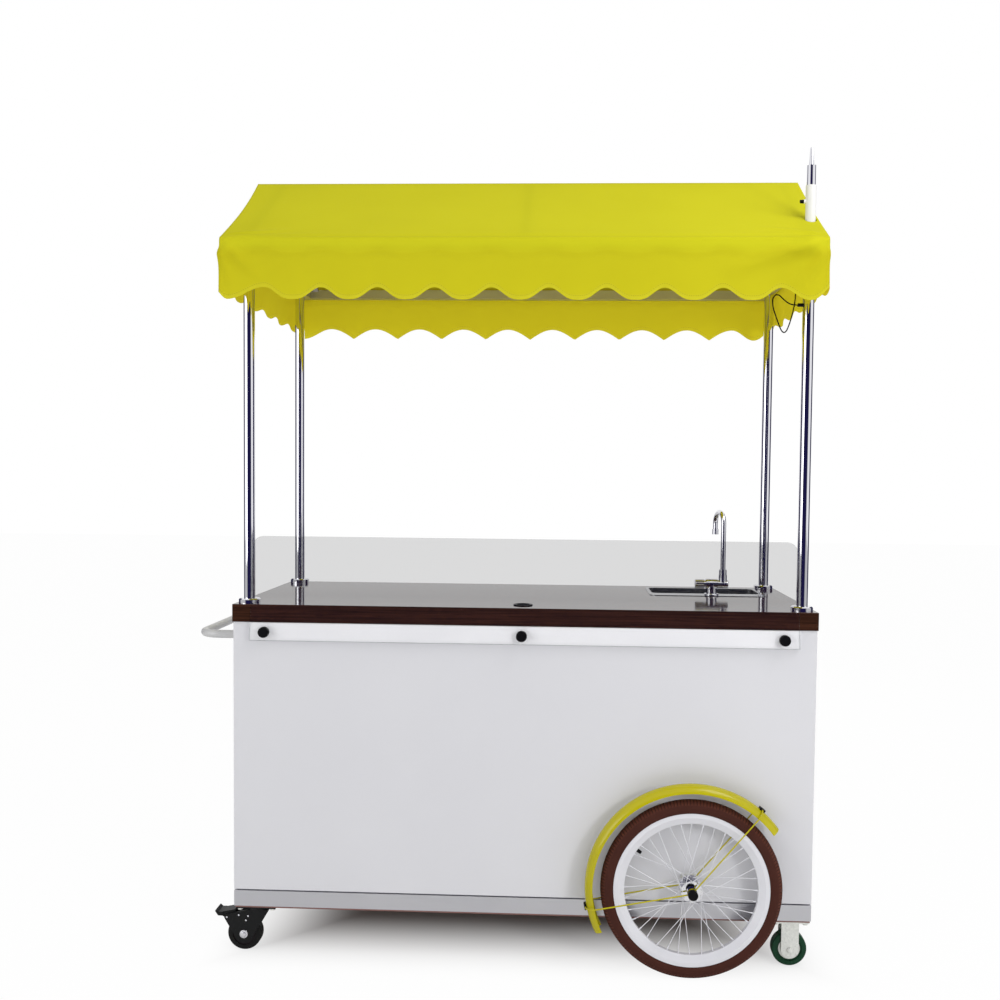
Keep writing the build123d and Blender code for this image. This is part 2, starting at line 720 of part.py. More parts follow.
beam_half = rafter_width / 2
end_rafter_x = frame_half_x - frame_rail - beam_half - face_gap
beam_top_z = roof_under_z(beam_half, cover_gap)
rafter_foot_y = frame_inner_y - face_gap
rafter_head_y = beam_half + face_gap
with BuildPart() as canopy_frame:
    for inset, mode in ((0, Mode.ADD), (frame_wall, Mode.SUBTRACT)):
        for side in SIDES.values():
            block(cab_x - frame_half_x, cab_x + frame_half_x, side * (frame_inner_y + inset),
                  side * (frame_half_y - inset), frame_under_z + inset, frame_top_z - inset, mode=mode)
            block(cab_x + side * (frame_half_x - frame_rail + inset), cab_x + side * (frame_half_x - inset),
                  -frame_inner_y + face_gap, frame_inner_y - face_gap, frame_under_z + inset,
                  frame_top_z - inset,
                  mode=mode)
        block(cab_x - frame_half_x, cab_x + frame_half_x, -beam_half + inset, beam_half - inset,
              beam_top_z - rafter_width + inset, beam_top_z - inset, mode=mode)
        for rafter_x in (-end_rafter_x, 0, end_rafter_x):
            for side in SIDES.values():
                with BuildSketch(Plane.YZ.offset(cab_x + rafter_x - rafter_width / 2 + inset)):
                    with BuildLine():
                        Polyline((side * rafter_head_y, roof_under_z(rafter_head_y, cover_gap + inset)),
                                 (side * rafter_foot_y, roof_under_z(rafter_foot_y, cover_gap + inset)),
                                 (side * rafter_foot_y,
                                  roof_under_z(rafter_foot_y, cover_gap + rafter_depth - inset)),
                                 (side * rafter_head_y,
                                  roof_under_z(rafter_head_y, cover_gap + rafter_depth - inset)),
                                 close=True)
                    make_face()
                extrude(amount=rafter_width - 2 * inset, mode=mode)
canopy_frame.part.label = "canopy_frame"
export_step(canopy_frame.part, "parts/canopy_frame.step")

# Fabric cover: one sheet over the ridge, with a hole for the mast, and two gable ends
mast_x = cab_x + post_x
mast_y = -post_y
hem_top_z = roof_under_z(canopy_half_y, seam_gap)
gable_half_y = canopy_half_y - cover_thick - seam_gap
with BuildPart() as canopy_roof:
    with BuildSketch(Plane.YZ.offset(canopy_left)):
        with BuildLine():
            Polyline((-canopy_half_y, eave_z), (0, ridge_z), (canopy_half_y, eave_z),
                     (canopy_half_y, roof_under_z(canopy_half_y)), (0, roof_under_z(0)),
                     (-canopy_half_y, roof_under_z(canopy_half_y)), close=True)
        make_face()
    extrude(amount=canopy_right - canopy_left)
    rod_z(mast_sleeve_r + mast_hole_gap, mast_x, mast_y, eave_z, ridge_z, mode=Mode.SUBTRACT)
    for gable_x in (canopy_left, canopy_right - cover_thick):
        with BuildSketch(Plane.YZ.offset(gable_x)):
            with BuildLine():
                Polyline((-gable_half_y, hem_top_z), (-gable_half_y, roof_under_z(gable_half_y, seam_gap)),
                         (0, roof_under_z(0, seam_gap)), (gable_half_y, roof_under_z(gable_half_y,
                                                                                     seam_gap)),
                         (gable_half_y, hem_top_z), close=True)
            make_face()
        extrude(amount=cover_thick)
canopy_roof.part.label = "canopy_roof"
export_step(canopy_roof.part, "parts/canopy_roof.step")


def notch_places(length):
    """Middle of each notch between the hem's lobes, along an edge centred on zero."""
    count = int((length - 2 * scallop_end_least) / scallop_pitch) + 1
    return [(place - (count - 1) / 2) * scallop_pitch for place in range(count)]


def folded_strip(length, fold_depth, z):
    """Plan of a hanging strip: it bulges outwards between notches and draws in at each notch."""
    quarter = scallop_pitch / 4
    notches = notch_places(length)
    with BuildSketch(Plane.XY.offset(z)) as plan:
        with BuildLine():
            for step in (0, cover_thick):
                base = fold_depth / 2 + step
                Line((-length / 2, base), (notches[0] - quarter, base))
                for notch in notches:
                    ThreePointArc((notch - quarter, base), (notch, base - fold_depth / 2),
                                  (notch + quarter, base))
                for notch in notches[:-1]:
                    ThreePointArc((notch + quarter, base), (notch + 2 * quarter, base + fold_depth / 2),
                                  (notch + 3 * quarter, base))
                Line((notches[-1] + quarter, base), (length / 2, base))
            for end in (-length / 2, length / 2):
                Line((end, fold_depth / 2), (end, fold_depth / 2 + cover_thick))
        make_face()
    return plan.sketch


def scalloped_valance(length, share):
    """A hanging strip along X that folds outwards to +Y, its top edge at zero height."""
    lobe_half = scallop_pitch * share / 2
    notch_half = scallop_pitch / 2 - lobe_half
    hem_z = -valance_height
    turn_z = hem_z + scallop_depth * share
    cloth_end_z = hem_z - scallop_depth
    floor_z = cloth_end_z - scallop_depth
    notches = notch_places(length)
    first_lobe = notches[0] - scallop_pitch / 2
    last_lobe = notches[-1] + scallop_pitch / 2
    end_x = length / 2 + scallop_pitch
    lower_edge = folded_strip(length, fold_depth_hem, cloth_end_z)
    upper_edge = folded_strip(length, fold_depth_top, 0)
    with BuildPart() as strip:
        loft([lower_edge, upper_edge], ruled=True)
        with BuildSketch(Plane.XZ):
            with BuildLine():
                Polyline((first_lobe, hem_z), (-end_x, hem_z), (-end_x, floor_z), (end_x, floor_z),
                         (end_x, hem_z), (last_lobe, hem_z))
                TangentArc((first_lobe, hem_z), (notches[0] - notch_half, turn_z), tangent=(1, 0))
                TangentArc((last_lobe, hem_z), (notches[-1] + notch_half, turn_z), tangent=(-1, 0))
                for notch in notches:
                    ThreePointArc((notch - notch_half, turn_z), (notch, hem_z + scallop_depth),
                                  (notch + notch_half, turn_z))
                for notch in notches[:-1]:
                    ThreePointArc((notch + notch_half, turn_z), (notch + scallop_pitch / 2, hem_z),
                                  (notch + notch_half + 2 * lobe_half, turn_z))
            make_face()
        extrude(amount=scallop_pitch, both=True, mode=Mode.SUBTRACT)
    return strip.part


# Scalloped valances: long ones at front and back, the back one with narrower lobes, short ones at the ends
valance_set_in = cover_thick + fold_depth_top / 2
valance_y = canopy_half_y - valance_set_in
front_valance = scalloped_valance(canopy_right - canopy_left, lobe_share)
rear_valance = scalloped_valance(canopy_right - canopy_left, rear_lobe_share)
end_valance = scalloped_valance(2 * (valance_y - seam_gap), lobe_share)
with BuildPart() as canopy_valances:
    with Locations(Location((canopy_mid_x, -valance_y, hem_top_z), (0, 0, 180))):
        add(front_valance)
    with Locations(Location((canopy_mid_x, valance_y, hem_top_z))):
        add(rear_valance)
    with Locations(Location((canopy_right - valance_set_in, 0, hem_top_z), (0, 0, -90)),
                   Location((canopy_left + valance_set_in, 0, hem_top_z), (0, 0, 90))):
        add(end_valance)
canopy_valances.part.label = "canopy_valances"
export_step(canopy_valances.part, "parts/canopy_valances.step")

# Mast: a sleeve that stands on the frame, the tube in it, and the screw that clamps the tube
clamp_boss_x = mast_x - mast_sleeve_r - clamp_boss_length
with BuildPart() as mast_sleeve:
    rod_z(mast_sleeve_r, mast_x, mast_y, frame_top_z, mast_sleeve_top_z)
    rod_x(clamp_boss_r, clamp_boss_x, mast_x, mast_y, clamp_z)
    rod_x(clamp_stud_r + running_gap, clamp_boss_x, mast_x, mast_y, clamp_z, mode=Mode.SUBTRACT)
    rod_z(mast_tube_r + slip_gap, mast_x, mast_y, frame_top_z, mast_sleeve_top_z, mode=Mode.SUBTRACT)
mast_sleeve.part.label = "mast_sleeve"
export_step(mast_sleeve.part, "parts/mast_sleeve.step")

with BuildPart() as mast_tube:
    with BuildSketch(Plane.XZ.offset(-mast_y)):
        with BuildLine():
            Polyline((mast_x, frame_top_z), (mast_x + mast_tube_r, frame_top_z),
                     (mast_x + mast_tube_r, mast_tube_top_z), (mast_x + mast_tip_base_r, mast_tube_top_z),
                     (mast_x + mast_tip_r, mast_tip_z), (mast_x, mast_tip_z), close=True)
        make_face()
    revolve(axis=Axis((mast_x, mast_y, 0), (0, 0, 1)))
mast_tube.part.label = "mast_tube"
export_step(mast_tube.part, "parts/mast_tube.step")

clamp_head_x = clamp_boss_x - face_gap
with BuildPart() as mast_screw:
    rod_x(clamp_head_r, clamp_head_x - clamp_head_length, clamp_head_x, mast_y, clamp_z)
    fillet(mast_screw.edges().sort_by(Axis.X)[0], clamp_edge_r)
    rod_x(clamp_stud_r, clamp_head_x, mast_x - mast_tube_r - face_gap, mast_y, clamp_z)
mast_screw.part.label = "mast_screw"
export_step(mast_screw.part, "parts/mast_screw.step")

# Lamp cable: it leaves the post through a gland, hangs in a loop and ends at the frame's side rail
rail_face_x = mast_x - frame_rail / 2
rail_gland_y = mast_y + rail_gland_step
rail_gland_z = frame_top_z - frame_rail / 2
cable_start = Vector(mast_x - post_r - gland_length, mast_y, gland_z)
cable_finish = Vector(rail_face_x - rail_gland_length, rail_gland_y, rail_gland_z)
with BuildPart() as cable_glands:
    rod_x(gland_r, cable_start.X, mast_x, mast_y, gland_z)
    rod_z(post_r + running_gap, mast_x, mast_y, gland_z - post_r, gland_z + post_r, mode=Mode.SUBTRACT)
    rod_x(gland_r, cable_finish.X, rail_face_x, rail_gland_y, rail_gland_z)
cable_glands.part.label = "cable_glands"
export_step(cable_glands.part, "parts/cable_glands.step")

cable_steps = ((-17, 0, 0), (-36, -2, 11), (-57, -4, 32), (-72, -4, 19), (-69, -3, -9), (-58, -1, -38),
               (-43, 2, -75), (-31, 4, -77), (-22, 5, -56), (-14, 6, -29), (-8, 8, -2), (-4, 10, 28),
               (-5, 13, 60), (-11, 18, 92), (-22, 23, 120))
cable_points = [cable_start]
for step in cable_steps:
    cable_points.append(cable_start + Vector(*step))
cable_points.append(cable_finish - Vector(cable_last_run, 0, 0))
cable_points.append(cable_finish)


def bend_radii(points):
    """The largest even bend at each corner of a route that leaves a short straight on each run."""
    radii = []
    for before, corner, after in zip(points, points[1:], points[2:]):
        run_in = corner - before
        run_out = after - corner
        half_turn = math.radians(run_in.get_angle(run_out)) / 2
        radii.append(bend_share * min(run_in.length, run_out.length) / math.tan(half_turn))
    return radii


with BuildPart() as lamp_cable:
    with BuildLine() as cable_path:
        FilletPolyline(*cable_points, radius=bend_radii(cable_points))
    with BuildSketch(Plane(origin=cable_start, z_dir=cable_points[1] - cable_start)):
        Circle(cable_r)
    sweep(path=cable_path.line)
lamp_cable.part.label = "lamp_cable"
export_step(lamp_cable.part, "parts/lamp_cable.step")
print("lamp cable bends", [round(radius, 1) for radius in bend_radii(cable_points)])
print("lamp cable volume", lamp_cable.part.volume, "of", math.pi * cable_r**2 * cable_path.wire().length)

# Big wheels: tyre with its valve, rim, crossed spokes and hub, one set at each side
wheel_x = cab_right - wheel_from_end
wheel_z = tyre_r
wheel_y = cab_half_y + wheel_gap
tyre_core_r = tyre_r - tyre_section_r
bead_y = rim_half_width - rim_wall - face_gap - bead_thick / 2
valve_turn = math.radians(valve_deg)
valve_dir = Vector(math.cos(valve_turn), 0, math.sin(valve_turn))
spoke_places = [(flange, place) for flange in (-1, 1) for place in range(spoke_count // 2)]


def spoke_line(middle, flange, place):
    """Ends of one spoke: where it leaves the hub's flange and where it meets the rim."""
    crossing = 1 if place % 2 == 0 else -1
    step = 720 / spoke_count
    hub_turn = math.radians(step * place + (step / 2 if flange > 0 else 0))
    rim_turn = hub_turn + crossing * math.radians(step * spoke_crosses)
    hub_y = flange * hub_flange_y + crossing * (hub_flange_half + spoke_r + spoke_gap)
    hub_end = Vector(spoke_hub_r * math.cos(hub_turn), hub_y, spoke_hub_r * math.sin(hub_turn))
    rim_r = rim_inner_r + rim_wall + nipple_proud
    rim_end = Vector(rim_r * math.cos(rim_turn), flange * spoke_rim_y, rim_r * math.sin(rim_turn))
    return middle + hub_end, middle + rim_end


for name, side in SIDES.items():
    middle = Vector(wheel_x, side * wheel_y, wheel_z)
    wheel_axis = Axis(middle, (0, 1, 0))
    section = Plane(origin=middle, x_dir=(1, 0, 0), z_dir=(0, 0, 1))

    with BuildPart() as tyre:
        with BuildSketch(section):
            with Locations((tyre_core_r, 0)):
                Circle(tyre_section_r)
                Circle(tyre_section_r - tyre_wall, mode=Mode.SUBTRACT)
            with Locations((rim_edge_r + running_gap, 0)):
                Rectangle(tyre_section_r, 2 * tyre_section_r, align=(Align.MAX, Align.CENTER),
                          mode=Mode.SUBTRACT)
            for step in (-1, 1):
                with Locations((rim_edge_r - bead_depth, step * bead_y)):
                    Rectangle(bead_depth + tyre_wall / 2, bead_thick, align=(Align.MIN, Align.CENTER))
        revolve(axis=wheel_axis)
        with BuildSketch(Plane(origin=middle + valve_dir * valve_inner_r, z_dir=valve_dir)):
            Circle(valve_r)
        extrude(amount=rim_shoulder_r - valve_inner_r)
    tyre.part.label = f"{name}_tyre"
    export_step(tyre.part, f"parts/{name}_tyre.step")

    with BuildPart() as rim:
        with BuildSketch(section):
            with BuildLine():
                Polyline((rim_edge_r, rim_half_width), (rim_shoulder_r, rim_half_width),
                         (rim_inner_r, rim_nose_half),
                         (rim_inner_r, -rim_nose_half), (rim_shoulder_r, -rim_half_width),
                         (rim_edge_r, -rim_half_width), (rim_edge_r, -rim_half_width + rim_wall),
                         (rim_shoulder_r + rim_wall / 2, -rim_half_width + rim_wall),
                         (rim_inner_r + rim_wall, -rim_nose_half + rim_wall / 2),
                         (rim_inner_r + rim_wall, rim_nose_half - rim_wall / 2),
                         (rim_shoulder_r + rim_wall / 2, rim_half_width - rim_wall),
                         (rim_edge_r, rim_half_width - rim_wall), close=True)
            make_face()
        revolve(axis=wheel_axis)
        with BuildSketch(Plane(origin=middle + valve_dir * valve_inner_r, z_dir=valve_dir)):
            Circle(valve_r + slip_gap)
        extrude(amount=rim_shoulder_r - valve_inner_r, mode=Mode.SUBTRACT)
        for flange, place in spoke_places:
            hub_end, rim_end = spoke_line(middle, flange, place)
            with BuildSketch(Plane(origin=rim_end, z_dir=hub_end - rim_end)):
                Circle(nipple_r + slip_gap)
        extrude(amount=nipple_length, mode=Mode.SUBTRACT)
    rim.part.label = f"{name}_rim"
    export_step(rim.part, f"parts/{name}_rim.step")

    with BuildPart() as spokes:
        for flange, place in spoke_places:
            hub_end, rim_end = spoke_line(middle, flange, place)
            flange_y = middle.Y + flange * hub_flange_y
            head_y = flange_y - math.copysign(hub_flange_half + spoke_head, hub_end.Y - flange_y)
            run = rim_end - hub_end
            with BuildSketch(Plane(origin=hub_end, z_dir=run)):
                Circle(spoke_r)
            extrude(amount=run.length)
            rod_y(spoke_r, hub_end.X, hub_end.Y, head_y, hub_end.Z)
            with BuildSketch(Plane(origin=rim_end, z_dir=-run)):
                Circle(nipple_r)
            extrude(amount=nipple_length)
    spokes.part.label = f"{name}_spokes"
    export_step(spokes.part, f"parts/{name}_spokes.step")

    with BuildPart() as hub:
        rod_y(hub_shell_r, wheel_x, middle.Y - hub_flange_y, middle.Y + hub_flange_y, wheel_z)
        rod_y(hub_end_r, wheel_x, middle.Y - hub_half, middle.Y + hub_half, wheel_z)
        for flange in (-1, 1):
            flange_y = middle.Y + flange * hub_flange_y
            rod_y(hub_flange_r, wheel_x, flange_y - hub_flange_half, flange_y + hub_flange_half, wheel_z)
        for flange, place in spoke_places:
            hub_end, rim_end = spoke_line(middle, flange, place)
            flange_y = middle.Y + flange * hub_flange_y
            rod_y(spoke_r + slip_gap, hub_end.X, flange_y - hub_flange_half, flange_y + hub_flange_half,
                  hub_end.Z,
                  mode=Mode.SUBTRACT)
        rod_y(axle_r + running_gap, wheel_x, middle.Y - hub_half, middle.Y + hub_half, wheel_z,
              mode=Mode.SUBTRACT)
    hub.part.label = f"{name}_hub"
    export_step(hub.part, f"parts/{name}_hub.step")

# Stub axles with their nuts, and the caps over the nuts
eyelet_from = hub_half + hub_end_play
stay_offsets = (eyelet_from + eyelet_thick / 2, eyelet_from + 1.5 * eyelet_thick)
stack_end = eyelet_from + 2 * eyelet_thick
with BuildPart() as wheel_axles:
    for side in SIDES.values():
        panel_y = side * cab_half_y
        plate_y = panel_y + side * axle_plate_thick
        seat_y = side * (wheel_y + stack_end)
        block(wheel_x - axle_plate / 2, wheel_x + axle_plate / 2, panel_y, plate_y,
              wheel_z - axle_plate / 2, wheel_z + axle_plate / 2)
        rod_y(axle_shoulder_r, wheel_x, plate_y, side * (wheel_y - stack_end), wheel_z)
        rod_y(axle_r, wheel_x, plate_y, seat_y + side * (axle_nut_thick + axle_end), wheel_z)
    for side in SIDES.values():
        with BuildSketch(Plane(origin=(wheel_x, side * (wheel_y + stack_end), wheel_z),
                               z_dir=(0, side, 0))):
            RegularPolygon(axle_nut_across / 2, 6, major_radius=False)
            Circle(axle_r + slip_gap, mode=Mode.SUBTRACT)
        extrude(amount=axle_nut_thick)
wheel_axles.part.label = "wheel_axles"
export_step(wheel_axles.part, "parts/wheel_axles.step")

cap_depth = axle_nut_thick + axle_end + axle_cap_wall + face_gap
with BuildPart() as axle_caps:
    for side in SIDES.values():
        seat_y = side * (wheel_y + stack_end)
        rod_y(axle_cap_r, wheel_x, seat_y, seat_y + side * cap_depth, wheel_z)
    fillet(axle_caps.edges().filter_by(GeomType.CIRCLE).group_by(Axis.Y)[0], axle_cap_wall)
    fillet(axle_caps.edges().filter_by(GeomType.CIRCLE).group_by(Axis.Y)[-1], axle_cap_wall)
    for side in SIDES.values():
        seat_y = side * (wheel_y + stack_end)
        rod_y(axle_cap_r - axle_cap_wall, wheel_x, seat_y, seat_y + side * (cap_depth - axle_cap_wall),
              wheel_z,
              mode=Mode.SUBTRACT)
axle_caps.part.label = "axle_caps"
export_step(axle_caps.part, "parts/axle_caps.step")

# Mudguards, the wire stays that carry them from the axle, and the clips that hold wire to guard
guard_core_r = tyre_r + guard_rise


def band_section(plane, inner_r, outer_r, half_deg):
    """A curved band across the wheel: part of a ring round the middle of the guard's section."""
    reach = 2 * outer_r
    spread = reach * math.tan(math.radians(half_deg))
    with BuildSketch(plane) as band:
        with Locations((guard_core_r, 0)):
            Circle(outer_r)
            Circle(inner_r, mode=Mode.SUBTRACT)
        with BuildLine():
            Polyline((guard_core_r, 0), (guard_core_r + reach, spread), (guard_core_r + reach, -spread),
                     close=True)
        make_face(mode=Mode.INTERSECT)
    return band.sketch


def turned_section(middle, degrees):
    """Plane through the wheel's axis at an angle up from +X, its own x axis away from the axle."""
    turn = math.radians(degrees)
    return Plane(origin=middle, x_dir=(math.cos(turn), 0, math.sin(turn)),
                 z_dir=(-math.sin(turn), 0, math.cos(turn)))


with BuildPart() as mudguards:
    for side in SIDES.values():
        middle = Vector(wheel_x, side * wheel_y, wheel_z)
        section = band_section(turned_section(middle, guard_start_deg), guard_section_r - guard_wall,
                               guard_section_r, guard_half_deg)
        revolve(section, axis=Axis(middle, (0, -1, 0)), revolution_arc=guard_arc_deg)
mudguards.part.label = "mudguards"
export_step(mudguards.part, "parts/mudguards.step")

stay_top_r = guard_core_r + guard_section_r + stay_r + face_gap
with BuildPart() as mudguard_stays:
    for side in SIDES.values():
        middle = Vector(wheel_x, side * wheel_y, wheel_z)
        for degrees, offset in zip(stay_angles_deg, stay_offsets):
            plane = turned_section(middle, degrees)
            with BuildLine(plane) as stay_path:
                FilletPolyline((stay_start_r, -offset), (stay_top_r, -offset), (stay_top_r, offset),
                               (stay_start_r, offset), radius=stay_bend_r)
            with BuildSketch(Plane(origin=plane.from_local_coords((stay_start_r, -offset, 0)),
                                   z_dir=plane.x_dir)):
                Circle(stay_r)
            sweep(path=stay_path.line)
            for step in (-1, 1):
                eyelet_y = middle.Y + step * offset
                rod_y(eyelet_r, wheel_x, eyelet_y - eyelet_thick / 2, eyelet_y + eyelet_thick / 2, wheel_z)
                rod_y(axle_r + slip_gap, wheel_x, eyelet_y - eyelet_thick / 2,
                      eyelet_y + eyelet_thick / 2, wheel_z,
                      mode=Mode.SUBTRACT)
mudguard_stays.part.label = "mudguard_stays"
export_step(mudguard_stays.part, "parts/mudguard_stays.step")

with BuildPart() as mudguard_clips:
    for side in SIDES.values():
        middle = Vector(wheel_x, side * wheel_y, wheel_z)
        for degrees in stay_angles_deg:
            section = band_section(turned_section(middle, degrees - clip_arc_deg / 2),
                                   guard_section_r + running_gap,
                                   guard_section_r + clip_height, clip_half_deg)
            revolve(section, axis=Axis(middle, (0, -1, 0)), revolution_arc=clip_arc_deg)
            turn = math.radians(degrees)
            rod_y(stay_r + slip_gap, wheel_x + stay_top_r * math.cos(turn), middle.Y - guard_section_r,
                  middle.Y + guard_section_r, wheel_z + stay_top_r * math.sin(turn), mode=Mode.SUBTRACT)
mudguard_clips.part.label = "mudguard_clips"
export_step(mudguard_clips.part, "parts/mudguard_clips.step")

# Swivel caster plates with race and kingpin, at the left end
race_under_z = plate_under_z - race_height
crown_top_z = race_under_z - face_gap
crown_under_z = crown_top_z - crown_thick
pin_head_z = crown_under_z - face_gap
fork_inner = caster_hub_half + fork_side_gap
fork_outer = fork_inner + fork_leg
with BuildPart() as swivel_plates:
    for side in SIDES.values():
        y = side * caster_y
        block(swivel_x - swivel_plate_length / 2, swivel_x + swivel_plate_length / 2,
              y - caster_plate_width / 2,
              y + caster_plate_width / 2, plate_under_z, caster_height)
        rod_z(race_r, swivel_x, y, race_under_z, plate_under_z)
        rod_z(kingpin_r, swivel_x, y, pin_head_z, race_under_z)
        rod_z(kingpin_head_r, swivel_x, y, pin_head_z - kingpin_head_height, pin_head_z)
    bolt_holes()
swivel_plates.part.label = "swivel_plates"
export_step(swivel_plates.part, "parts/swivel_plates.step")


def caster_wheel(x, y, label):
    """A plain caster wheel with a recess in each face and a bore for its axle."""
    with BuildPart() as wheel:
        rod_y(caster_wheel_r, x, y - caster_wheel_half, y + caster_wheel_half, caster_wheel_r)
        fillet(wheel.edges().filter_by(GeomType.CIRCLE), caster_tread_edge_r)
        for face in (-1, 1):
            face_y = y + face * caster_wheel_half
            rod_y(caster_recess_r, x, face_y, face_y - face * caster_recess, caster_wheel_r,
                  mode=Mode.SUBTRACT)
        rod_y(caster_hub_r, x, y - caster_hub_half, y + caster_hub_half, caster_wheel_r)
        rod_y(caster_axle_r + running_gap, x, y - caster_hub_half, y + caster_hub_half, caster_wheel_r,
              mode=Mode.SUBTRACT)
    wheel.part.label = label
    export_step(wheel.part, f"parts/{label}.step")


# Swivel forks, their wheels and the brake pedals, whose side views are drawn from the pedal's pivot
axle_x = swivel_x - swivel_trail
pivot_x = axle_x - pedal_pivot_back
for name, side in SIDES.items():
    y = side * caster_y
    with BuildPart() as fork:
        for leg in (-1, 1):
            with BuildSketch(Plane.XZ.offset(-(y + leg * fork_inner))):
                with Locations((swivel_x, (crown_top_z + crown_under_z) / 2)):
                    Rectangle(2 * crown_half_length, crown_thick)
                with Locations((axle_x, caster_wheel_r)):
                    Circle(fork_boss_r)
                with Locations((pivot_x, pedal_pivot_z)):
                    Circle(pedal_boss_r)
                make_hull()
            extrude(amount=-leg * fork_leg)
        block(swivel_x - crown_half_length, swivel_x + crown_half_length, y - fork_outer, y + fork_outer,
              crown_under_z, crown_top_z)
        rod_y(caster_axle_r, axle_x, y - fork_outer, y + fork_outer, caster_wheel_r)
        rod_y(pedal_pin_r, pivot_x, y - fork_outer, y + fork_outer, pedal_pivot_z)
        rod_z(kingpin_r + running_gap, swivel_x, y, crown_under_z, crown_top_z, mode=Mode.SUBTRACT)
    fork.part.label = f"{name}_fork"
    export_step(fork.part, f"parts/{name}_fork.step")

    caster_wheel(axle_x, y, f"{name}_caster_wheel")

    pedal_half = fork_inner - face_gap
    with BuildPart() as pedal:
        rod_y(pedal_boss_r, pivot_x, y - pedal_half, y + pedal_half, pedal_pivot_z)
        for outline, half_width in ((pedal_arm, pedal_half), (pedal_tread, tread_half_width)):
            with BuildSketch(Plane.XZ.offset(-y - half_width)) as side_view:
                with BuildLine():
                    Polyline(*[(pivot_x + back, pedal_pivot_z + up) for back, up in outline], close=True)
                make_face()
                fillet(side_view.vertices(), tread_edge_r)
            extrude(amount=2 * half_width)
        rod_y(pedal_pin_r + running_gap, pivot_x, y - pedal_half, y + pedal_half, pedal_pivot_z,
              mode=Mode.SUBTRACT)
    pedal.part.label = f"{name}_pedal"
    export_step(pedal.part, f"parts/{name}_pedal.step")

# Rigid casters at the right end
with BuildPart() as rigid_forks:
    for side in SIDES.values():
        y = side * caster_y
        block(rigid_x - rigid_plate_length / 2, rigid_x + rigid_plate_length / 2,
              y - caster_plate_width / 2,
              y + caster_plate_width / 2, plate_under_z, caster_height)
        for leg in (-1, 1):
            block(rigid_x - rigid_leg_half, rigid_x + rigid_leg_half, y + leg * fork_inner,
                  y + leg * fork_outer,
                  caster_wheel_r, plate_under_z)
            rod_y(rigid_leg_half, rigid_x, y + leg * fork_inner, y + leg * fork_outer, caster_wheel_r)
        rod_y(caster_axle_r, rigid_x, y - fork_outer, y + fork_outer, caster_wheel_r)
    bolt_holes()
rigid_forks.part.label = "rigid_forks"
export_step(rigid_forks.part, "parts/rigid_forks.step")

for name, side in SIDES.items():
    caster_wheel(rigid_x, side * caster_y, f"{name}_rigid_wheel")

with BuildPart() as caster_bolts:
    for bolt_x, bolt_y in bolt_places:
        rod_z(bolt_head_r, bolt_x, bolt_y, plate_under_z - bolt_head_height, plate_under_z)
        rod_z(bolt_r, bolt_x, bolt_y, plate_under_z, base_top_z - face_gap)
caster_bolts.part.label = "caster_bolts"
export_step(caster_bolts.part, "parts/caster_bolts.step")

# Push handle: one bent tube with a flange at each end
handle_out_x = cab_x - counter_length / 2 - handle_reach + handle_tube_r
handle_half = handle_span / 2
with BuildPart() as push_handle:
    with BuildLine(Plane.XY.offset(handle_z)) as handle_path:
        FilletPolyline((cab_left, -handle_half), (handle_out_x, -handle_half), (handle_out_x, handle_half),
                       (cab_left, handle_half), radius=handle_bend_r)
    with BuildSketch(Plane(origin=(cab_left, -handle_half, handle_z), z_dir=(-1, 0, 0))):
        Circle(handle_tube_r)
        Circle(handle_tube_r - handle_tube_wall, mode=Mode.SUBTRACT)
    sweep(path=handle_path.line)
    for end in (-handle_half, handle_half):
        rod_x(handle_flange_r, cab_left - handle_flange_thick, cab_left, end, handle_z)
push_handle.part.label = "push_handle"
export_step(push_handle.part, "parts/push_handle.step")
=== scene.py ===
"""Dresses the food cart's frame: the cloth canopy, tyres, lamp cable and a finish for every node."""
import json
import logging
import math
from dataclasses import dataclass
from enum import Enum

import bmesh
import bpy
from mathutils import Matrix, Vector, noise


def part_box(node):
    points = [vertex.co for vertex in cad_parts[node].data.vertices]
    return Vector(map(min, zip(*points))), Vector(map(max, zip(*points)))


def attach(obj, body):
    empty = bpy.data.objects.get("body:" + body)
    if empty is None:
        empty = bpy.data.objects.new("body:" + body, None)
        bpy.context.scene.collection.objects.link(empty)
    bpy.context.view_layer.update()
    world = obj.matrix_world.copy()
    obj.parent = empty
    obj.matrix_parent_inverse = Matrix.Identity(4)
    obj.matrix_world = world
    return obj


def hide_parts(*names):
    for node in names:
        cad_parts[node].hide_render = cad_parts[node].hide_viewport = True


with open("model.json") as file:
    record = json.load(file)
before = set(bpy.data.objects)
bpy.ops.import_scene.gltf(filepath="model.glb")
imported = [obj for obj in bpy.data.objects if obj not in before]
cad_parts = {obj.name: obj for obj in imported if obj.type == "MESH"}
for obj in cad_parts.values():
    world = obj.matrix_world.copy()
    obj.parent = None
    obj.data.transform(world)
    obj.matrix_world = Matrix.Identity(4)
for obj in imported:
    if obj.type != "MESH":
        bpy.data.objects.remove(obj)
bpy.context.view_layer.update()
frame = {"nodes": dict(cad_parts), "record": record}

MM = 0.001
PIXELS = 1000
CART_X = sum(corner.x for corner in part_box("counter_top")) / 2
WHEEL_X, WHEEL_Y, WHEEL_R = CART_X + 0.484, 0.388, 0.254
SWIVEL_X, RIGID_X, CASTER_Y, CASTER_R = CART_X - 0.812, CART_X + 0.780, 0.282, 0.050
log = logging.getLogger("food_cart")

Inputs = dict[str | int, object]
Pair = tuple[float, float]
Triple = tuple[float, float, float]


